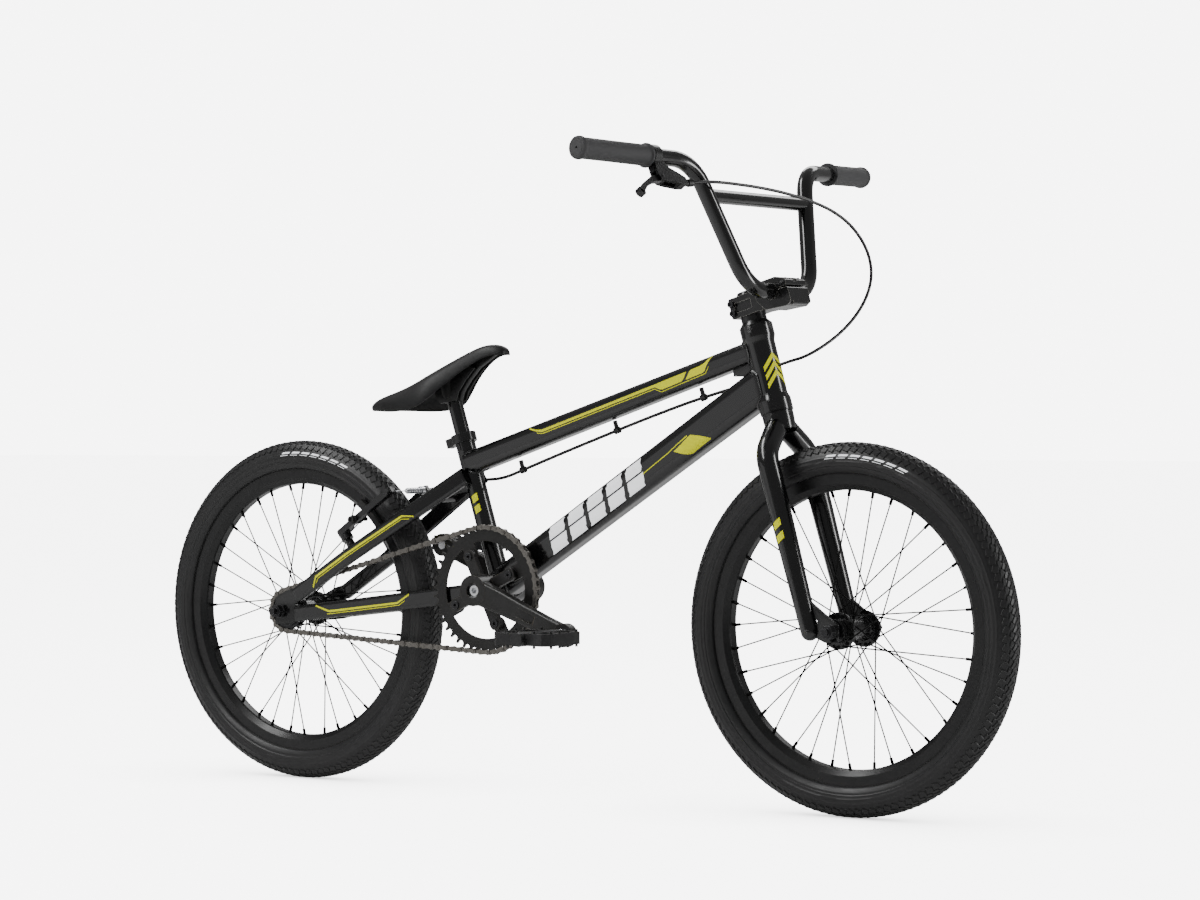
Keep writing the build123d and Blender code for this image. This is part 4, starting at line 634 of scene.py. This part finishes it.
# saddle
saddle = {
    # spine x, spine z, edge x, edge half width, edge z, from tail to nose
    "sections": (
        (-0.3368, 0.5490, -0.3335, 0.0090, 0.5462), (-0.3310, 0.5573, -0.3220, 0.0260, 0.5443),
        (-0.3116, 0.5668, -0.2979, 0.0420, 0.5430), (-0.2860, 0.5735, -0.2709, 0.0540, 0.5400),
        (-0.2550, 0.5840, -0.2399, 0.0588, 0.5400), (-0.2321, 0.5955, -0.2156, 0.0580, 0.5455),
        (-0.2140, 0.6045, -0.2030, 0.0540, 0.5555), (-0.1972, 0.6131, -0.1828, 0.0420, 0.5756),
        (-0.1750, 0.6238, -0.1650, 0.0320, 0.5925), (-0.1560, 0.6322, -0.1450, 0.0245, 0.6080),
        (-0.1369, 0.6395, -0.1280, 0.0195, 0.6185), (-0.1180, 0.6412, -0.1120, 0.0160, 0.6240),
        (-0.1040, 0.6385, -0.1020, 0.0128, 0.6236), (-0.0965, 0.6335, -0.0968, 0.0092, 0.6238)),
    "rows": 12, "dome": 0.62, "skin": 0.0065, "fill": 0.9,
    "keel": ((-0.1150, 0.6260), (-0.1456, 0.6070), (-0.1628, 0.5890), (-0.1750, 0.5725), (-0.1790, 0.5600),
             (-0.2080, 0.5560), (-0.2180, 0.5700), (-0.2020, 0.6020), (-0.1700, 0.6180), (-0.1400, 0.6320)),
    "keelHalf": 0.0045, "socketFoot": 0.287, "socketTop": 0.325, "socketRadius": (0.0150, 0.0195),
}


def saddleSection(row):
    spineX, spineZ, edgeX, half, edgeZ = row
    ring = []
    rows = saddle["rows"]
    for step in range(rows + 1):                     # over the top, from the right edge to the left one
        turn = pi * step / rows
        rise = sin(turn) ** saddle["dome"]
        ring.append((edgeX + (spineX - edgeX) * rise, -cos(turn) * half, edgeZ + (spineZ - edgeZ) * rise))
    inner = half * 0.90
    sink = min(saddle["skin"], (spineZ - edgeZ) * 0.45)
    for step in range(1, rows):                      # back underneath, hollow
        turn = pi * step / rows
        rise = sin(turn) ** (saddle["dome"] * 1.3)
        top = edgeZ + (spineZ - edgeZ - sink) * rise
        ring.append((edgeX + (spineX - edgeX) * rise, cos(turn) * inner, top - (1 - rise) * 0.0008))
    return ring


def makeSaddle():
    rings = [saddleSection(row) for row in saddle["sections"]]
    around = len(rings[0])
    bpy.ops.mesh.primitive_cylinder_add(vertices=around, radius=0.05, depth=0.2, end_fill_type="NGON")
    cover = bpy.context.object
    settle(cover, "saddleCover")
    editAll(cover)
    bpy.ops.mesh.select_mode(type="EDGE")
    bpy.ops.object.mode_set(mode="OBJECT")
    for edge in cover.data.edges:
        first, second = (cover.data.vertices[index].co for index in edge.vertices)
        edge.select = abs(first.z - second.z) > 0.1
    bpy.ops.object.mode_set(mode="EDIT")
    bpy.ops.mesh.subdivide(number_cuts=len(rings) - 2)
    bpy.ops.object.mode_set(mode="OBJECT")
    for vertex in cover.data.vertices:
        level = round((vertex.co.z + 0.1) / 0.2 * (len(rings) - 1))
        index = round((atan2(vertex.co.y, vertex.co.x) / (2 * pi)) * around) % around
        vertex.co = rings[level][index]
    cleaned(cover, 0.0002)
    rounding = cover.modifiers.new("rounding", "SUBSURF")
    rounding.levels = rounding.render_levels = 2
    applyModifiers(cover)
    smoothOver(cover, 60)
    material = finish("saddleCover", dict(
        colour=(0.0095, 0.0095, 0.010), rough=(0.42, 0.54), specular=0.3, fineScale=1100.0, bump=0.25,
        dust=0.06))
    dress(cover, "seat", material, ("saddle",))
    under = finish("saddleBase", dict(
        colour=(0.008, 0.008, 0.008), rough=(0.34, 0.46), specular=0.3, fineScale=700.0, bump=0.12, dust=0.05))
    base = joined([
        platePiece("keelMiddle", saddle["keel"], saddle["keelHalf"], 0.0),
        platePiece("keelRight", saddle["keel"][1:9], 0.0016, -0.012),
        platePiece("keelLeft", saddle["keel"][1:9], 0.0016, 0.012),
        turnedPiece("socket", onSeat(saddle["socketFoot"]), seatUp, (
            (0.0, 0.0113), (0.0, saddle["socketRadius"][0]), (0.004, saddle["socketRadius"][0] + 0.0008),
            (0.016, saddle["socketRadius"][0] + 0.001), (saddle["socketTop"] - saddle["socketFoot"] - 0.01,
                                                         saddle["socketRadius"][1]),
            (saddle["socketTop"] - saddle["socketFoot"], 0.024)), 40)], "saddleBase")
    dress(base, "seat", under)


# a flat plate standing in the side plane, cut to an outline of x and z
def platePiece(name, outline, half, side, bevel=0.0008):
    bpy.ops.mesh.primitive_circle_add(vertices=len(outline), radius=0.1, fill_type="NGON")
    plate = bpy.context.object
    for vertex, (x, z) in zip(plate.data.vertices, outline):
        vertex.co = (x, side - half, z)
    settle(plate, name)
    editAll(plate)
    bpy.ops.mesh.extrude_region_move(TRANSFORM_OT_translate={"value": (0, half * 2, 0)})
    bpy.ops.mesh.select_all(action="SELECT")
    bpy.ops.mesh.normals_make_consistent(inside=False)
    bpy.ops.object.mode_set(mode="OBJECT")
    if bevel:
        trim = plate.modifiers.new("edge", "BEVEL")
        trim.width = bevel
        trim.segments = 2
        trim.limit_method = "ANGLE"
        applyModifiers(plate)
    smoothOver(plate, 40)
    return plate


makeSaddle()
print("grips and saddle done")

# brake cable from the lever to the frame
cable = {
    "diameter": 0.0046, "length": 0.589,
    "route": (
        (0.3297, -0.1806, 0.8433), (0.3385, -0.1584, 0.8461), (0.3480, -0.1350, 0.8465),
        (0.3580, -0.1060, 0.8450),
        (0.3710, -0.0710, 0.8420), (0.3850, -0.0290, 0.8365), (0.3980, 0.0140, 0.8280),
        (0.4090, 0.0560, 0.8160),
        (0.4180, 0.0930, 0.7970), (0.4250, 0.1200, 0.7690), (0.4280, 0.1320, 0.7370), (0.4260, 0.1260, 0.7060),
        (0.4210, 0.1040, 0.6760), (0.4130, 0.0730, 0.6500), (0.4030, 0.0410, 0.6305), (0.3900, 0.0150, 0.6165),
        (0.3740, 0.0015, 0.6106), (0.3550, 0.0000, 0.6048)),
}


def makeCable():
    curve = bpy.data.curves.new("brakeCable", "CURVE")
    curve.dimensions = "3D"
    spline = curve.splines.new("NURBS")
    spline.points.add(len(cable["route"]) - 1)
    for point, place in zip(spline.points, cable["route"]):
        point.co = (*place, 1)
    spline.order_u = 3
    spline.use_endpoint_u = True
    curve.resolution_u = 8
    piece = bpy.data.objects.new("brakeCable", curve)
    bpy.context.scene.collection.objects.link(piece)
    bpy.context.view_layer.update()
    line = bpy.data.meshes.new_from_object(piece)
    curve.bevel_depth = cable["diameter"] / 2
    curve.bevel_resolution = 4
    curve.use_fill_caps = True
    pickUp(piece)
    bpy.ops.object.convert(target="MESH")
    piece = bpy.context.object
    smoothOver(piece, 50)
    material = finish("cableCover", dict(
        colour=(0.008, 0.008, 0.008), rough=(0.28, 0.38), specular=0.5, fineScale=1800.0, bump=0.1, dust=0.03))
    piece.data.materials.clear()
    piece.data.materials.append(material)
    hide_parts("brake_cable_loop")
    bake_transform(piece)


makeCable()
print("brake cable laid")

# weld beads
weld = {"radius": 0.0019, "ripple": 0.00055, "perRipple": 4, "step": 0.0006, "around": 96, "castFrom": 0.08,
        "castGap": 0.0003, "sink": 0.0004}
seams = (            # tube, what it meets, a section's place on the tube's axis, the way to the joint
    ("top_tube", "head_tube", (0.280, 0.6117), (0.9520, 0.3060)),
    ("down_tube", "head_tube", (0.270, 0.5363), (0.8428, 0.5382)),
    ("top_tube", "seat_tube", (-0.115, 0.4847), (-0.9520, -0.3060)),
    ("down_tube", "bottom_bracket_shell", (-0.060, 0.3256), (-0.8428, -0.5382)),
)


def seamPoints(tubeName, targetName, section, way):
    tube, target = nodes[tubeName], nodes[targetName]
    centre = Vector((section[0], 0, section[1]))
    way = Vector((way[0], 0, way[1]))
    lift = Vector((-way.z, 0, way.x))
    points = []
    for step in range(weld["around"]):
        turn = 2 * pi * step / weld["around"]
        out = lift * cos(turn) + left * sin(turn)
        found, place, _, _ = tube.ray_cast(centre + out * weld["castFrom"], -out)
        if not found:
            continue
        found, place, _, _ = target.ray_cast(place + out * weld["castGap"], way)
        if found:
            points.append(place - way * weld["sink"])
    return points


def weldBead(name, points):
    lengths = [0.0]
    ring = points + points[:1]
    for first, second in zip(ring, ring[1:]):
        lengths.append(lengths[-1] + (second - first).length)
    count = int(lengths[-1] / weld["step"])
    curve = bpy.data.curves.new(name, "CURVE")
    curve.dimensions = "3D"
    spline = curve.splines.new("POLY")
    spline.points.add(count - 1)
    spline.use_cyclic_u = True
    segment = 0
    for index, point in enumerate(spline.points):
        along = lengths[-1] * index / count
        while lengths[segment + 1] < along:
            segment += 1
        share = (along - lengths[segment]) / (lengths[segment + 1] - lengths[segment])
        point.co = (*ring[segment].lerp(ring[segment + 1], share), 1)
        wave = abs(sin(pi * index / weld["perRipple"]))
        point.radius = weld["radius"] + weld["ripple"] * (wave - 0.5)
    curve.bevel_depth = 1.0
    curve.bevel_resolution = 1
    piece = bpy.data.objects.new(name, curve)
    bpy.context.scene.collection.objects.link(piece)
    pickUp(piece)
    bpy.ops.object.convert(target="MESH")
    return bpy.context.object


def makeWelds():
    beads = []
    for index, seam in enumerate(seams):
        points = seamPoints(*seam)
        if len(points) > weld["around"] // 2:
            beads.append(weldBead("bead%d" % index, points))
    piece = joined(beads, "frameWelds")
    smoothOver(piece, 50)
    material = finish("weldPaint", dict(
        colour=(0.004, 0.004, 0.0042), rough=(0.12, 0.22), coat=1.0, coatRoughness=0.03, fineScale=900.0,
        bump=0.3,
        dust=0.02))
    dress(piece, "frame", material)


makeWelds()

# decals
film = {"thickness": 0.00012, "lift": 0.00015, "markLift": 0.0002, "step": 0.004, "across": 8}
tubeSides = {           # axis start, axis end, in x and z
    "top_tube": ((-0.16295, 0.46925), (0.33067, 0.62792)),
    "down_tube": ((-0.10641, 0.29600), (0.34349, 0.58322)),
    "seatstay_right": ((-0.441, 0.274), (-0.1575, 0.4521)),
    "chainstay_right": ((-0.441, 0.2475), (-0.1124, 0.288)),
}
bands = (               # rows of place along the tube, lower edge and upper edge, in millimetres
    ("topTubeStripe", "top_tube", "decal_yellow", (
        (125, 12.0, 13.6), (136, 5.2, 8.0), (146, 1.2, 4.6), (347, 1.4, 5.2), (351, -1.4, 5.3),
        (357, -5.4, 5.4),
        (393, -4.9, 5.7), (398, -0.2, 5.8), (403, 5.0, 5.8))),
    ("topTubeBlock", "top_tube", "decal_yellow", (
        (399, -4.8, -4.4), (404, -4.7, 0.4), (409, -4.6, 5.9), (424, -4.4, 6.0), (431, -4.2, 6.6),
        (436, 1.8, 8.2),
        (443, 8.6, 11.4), (449, 12.4, 13.6))),
    ("topTubeLine", "top_tube", "decal_yellow", (
        (137, 1.9, 3.2), (146, -1.6, -0.6), (346, -1.4, -0.4), (356, -8.6, -7.6), (432, -7.2, -6.2),
        (437, -3.0, -1.8), (440, 0.4, 1.4))),
    ("downTubeLine", "down_tube", "decal_yellow", (
        (300, -2.6, -1.4), (352, -0.6, 0.6), (372, 1.6, 2.8), (392, 2.6, 4.4))),
    ("downTubeBlock", "down_tube", "decal_yellow", (
        (362, -3.4, -3.0), (368, -9.0, -2.4), (376, -16.4, -1.2), (384, -21.0, 0.2), (397, -20.6, 2.0),
        (408, -20.4, -6.0), (417, -20.2, -14.0), (422, -20.1, -19.0))),
    ("seatstayStripe", "seatstay_right", "decal_yellow", (
        (38, -9.0, -6.4), (50, 1.4, 4.6), (222, 0.6, 3.6), (238, -9.4, -7.4))),
    ("seatstayLine", "seatstay_right", "decal_yellow", (
        (46, -5.6, -4.6), (53, -1.4, -0.4), (219, -2.0, -1.0), (230, -8.4, -7.2))),
    ("chainstayStripe", "chainstay_right", "decal_yellow", (
        (40, 7.2, 9.4), (62, -3.6, -0.4), (180, -3.0, -0.2), (201, 7.4, 10.0))),
    ("chainstayLine", "chainstay_right", "decal_yellow", (
        (58, -6.0, -4.8), (64, -6.4, -5.4), (182, -5.6, -4.6), (193, 0.0, 1.0))),
)
slashes = {"first": 112, "pitch": 38.5, "width": 31, "lean": 13, "count": 5, "low": -17, "high": 19, "gap": 3}


# a printed film laid on a tube's right side, and its mirrored twin on the left
def filmPiece(name, tubeName, rows, material):
    (startX, startZ), (endX, endZ) = tubeSides[tubeName]
    way = Vector((endX - startX, 0, endZ - startZ)).normalized()
    lift = Vector((-way.z, 0, way.x))
    start = Vector((startX, -0.1, startZ))
    reach = (rows[-1][0] - rows[0][0]) / 1000
    steps = max(4, int(reach / film["step"]))
    bpy.ops.mesh.primitive_grid_add(x_subdivisions=steps, y_subdivisions=film["across"], size=1)
    piece = bpy.context.object
    marks = sorted({round(row[0], 3) for row in rows})
    for vertex in piece.data.vertices:
        along = rows[0][0] + (vertex.co.x + 0.5) * reach * 1000
        along = min(marks, key=lambda mark: abs(mark - along)) if min(
            abs(mark - along) for mark in marks) < film["step"] * 320 else along
        for before, after in zip(rows, rows[1:]):
            if along <= after[0]:
                break
        share = (along - before[0]) / (after[0] - before[0])
        low, high = (before[k] + (after[k] - before[k]) * share for k in (1, 2))
        up = low + (high - low) * (vertex.co.y + 0.5)
        vertex.co = start + way * along / 1000 + lift * up / 1000
    settle(piece, name)
    wrap = piece.modifiers.new("wrap", "SHRINKWRAP")
    wrap.wrap_method = "PROJECT"
    wrap.use_project_y = True
    wrap.use_negative_direction = False
    wrap.use_positive_direction = True
    wrap.target = nodes[tubeName]
    wrap.offset = film["lift"]
    thicken(piece, film["thickness"], 1.0)
    cleaned(piece, 0.000001)
    smoothOver(piece, 30)
    twin = copied(piece, name + "Left", mirrorAcross)
    for each in (piece, twin):
        dress(each, "frame", material)


def makeDecals():
    # the print colours are the decals' own; the emission on both films is a painted glow that lifts them past
    # what the lamps give
    yellow = finish("yellowFilmPaintedGlow", dict(
        colour=(0.80, 0.82, 0.0), rough=(0.35, 0.45), specular=0.2, glow=((0.9, 0.88, 0.0), 0.16),
        fineScale=500.0,
        bump=0.02, dust=0.03, dustColour=(0.3, 0.3, 0.0)))
    white = finish("whiteFilmPaintedGlow", dict(
        colour=(0.90, 0.91, 0.92), rough=(0.35, 0.45), specular=0.2, glow=((0.95, 0.97, 1.0), 0.8),
        fineScale=500.0,
        bump=0.02, dust=0.03, dustColour=(0.5, 0.5, 0.5)))
    for name, tubeName, slotName, rows in bands:
        filmPiece(name, tubeName, rows, yellow)
    for index in range(slashes["count"]):
        first = slashes["first"] + slashes["pitch"] * index
        lean, width = slashes["lean"], slashes["width"]
        middle = lean * (slashes["gap"] - slashes["low"]) / (slashes["high"] - slashes["low"])
        upper = ((first + middle, 3.0, 3.2), (first + lean, 3.0, slashes["high"]),
                 (first + width + middle, 3.0, slashes["high"]), (first + width + lean, slashes["high"] - 0.2,
                                                                 slashes["high"]))
        lower = ((first, slashes["low"], slashes["low"] + 0.2), (first + middle, slashes["low"], 0.5),
                 (first + width, slashes["low"], 0.5), (first + width + middle, 0.3, 0.5))
        filmPiece("slashUpper%d" % index, "down_tube", upper, white)
        filmPiece("slashLower%d" % index, "down_tube", lower, white)


makeDecals()


# printed bars on the tyre walls
wallBars = {"section": 0.02392, "low": radians(83), "high": radians(70), "start": 66, "bar": 3.4, "gap": 1.2,
            "lean": 1.2, "count": 7}


def makeWallBars():
    white = bpy.data.materials["whiteFilmPaintedGlow"]
    bars = []
    for index in range(wallBars["count"]):
        bpy.ops.mesh.primitive_grid_add(x_subdivisions=8, y_subdivisions=8, size=1)
        bar = bpy.context.object
        first = wallBars["start"] + index * (wallBars["bar"] + wallBars["gap"])
        for vertex in bar.data.vertices:
            up = vertex.co.y + 0.5
            turn = radians(first + (vertex.co.x + 0.5) * wallBars["bar"] - up * wallBars["lean"])
            wall = wallBars["low"] + (wallBars["high"] - wallBars["low"]) * up
            reach = tyre["sectionCentre"] + cos(wall) * wallBars["section"]
            across = sin(wall) * wallBars["section"]
            vertex.co = rearAxle + Vector((cos(turn) * reach, -across, sin(turn) * reach))
        settle(bar, "bar")
        bars.append(bar)
    rear = joined(bars, "rearWallBars")
    faceOut(rear)
    thicken(rear, film["thickness"], -1.0)
    front = copied(rear, "frontWallBars", Matrix.Translation(frontAxle - rearAxle))
    for piece, body in ((rear, "rear_wheel"), (front, "front_wheel")):
        dress(piece, body, white)
        dress(copied(piece, piece.name + "Left", mirrorAcross), body, white)


makeWallBars()

# small marks on round tubes
low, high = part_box("crossbar")
barMiddle = (Vector(low) + Vector(high)) / 2
markTubes = {
    "headTube": (headBase, steerUp, 0.0203),
    "seatTube": (bracket, seatUp, 0.0143),
    "forkLeg": (onHead(-0.130, 0, -0.0545), -steerUp, 0.0146),
    "crossbar": (barMiddle, left, 0.0095),
}
chevrons = {"feet": (0.031, 0.043, 0.055), "rise": 0.018, "thick": 0.007, "spread": 46, "facing": -22}


# a printed patch bent round a tube: corners are (angle, low, high), in degrees and metres
def markOnTube(name, tube, body, corners, material, columns=14, rowsUp=2):
    foot, way, radius = markTubes[tube]
    out = Vector((way.z, 0, -way.x))
    side = way.cross(out)
    bpy.ops.mesh.primitive_grid_add(x_subdivisions=columns, y_subdivisions=rowsUp, size=1)
    patch = bpy.context.object
    for vertex in patch.data.vertices:
        share = vertex.co.x + 0.5
        reach = share * (len(corners) - 1)
        index = min(int(reach), len(corners) - 2)
        between = reach - index
        first, second = corners[index], corners[index + 1]
        angle, low, high = (first[k] + (second[k] - first[k]) * between for k in range(3))
        up = low + (high - low) * (vertex.co.y + 0.5)
        turn = radians(angle)
        vertex.co = foot + way * up + (out * cos(turn) + side * sin(turn)) * (radius + film["markLift"])
    settle(patch, name)
    faceOut(patch)
    thicken(patch, film["thickness"], 1.0)
    smoothOver(patch, 30)
    return dress(patch, body, material)


def makeMarks():
    yellow = bpy.data.materials["yellowFilmPaintedGlow"]
    for index, foot in enumerate((0.040, 0.058)):
        markOnTube("crossbarMark%d" % index, "crossbar", "steering", (
            (-60, foot, foot + 0.014), (-14, foot + 0.004, foot + 0.018)), yellow)
    facing, half = chevrons["facing"], chevrons["spread"]
    for index, low in enumerate(chevrons["feet"]):
        rise, thick = chevrons["rise"], chevrons["thick"]
        markOnTube("headChevron%d" % index, "headTube", "frame", (
            (facing - half, low, low + thick), (facing, low + rise, low + rise + thick),
            (facing + half, low, low + thick)), yellow, 24)
    for index, foot in enumerate((0.016, 0.034)):
        markOnTube("forkMark%d" % index, "forkLeg", "steering", (
            (-110, foot, foot + 0.010), (-62, foot + 0.006, foot + 0.016)), yellow)
    for index, foot in enumerate((0.112, 0.128)):
        markOnTube("seatMark%d" % index, "seatTube", "frame", (
            (-100, foot, foot + 0.011), (-62, foot + 0.003, foot + 0.014)), yellow)


makeMarks()
print("decals laid")
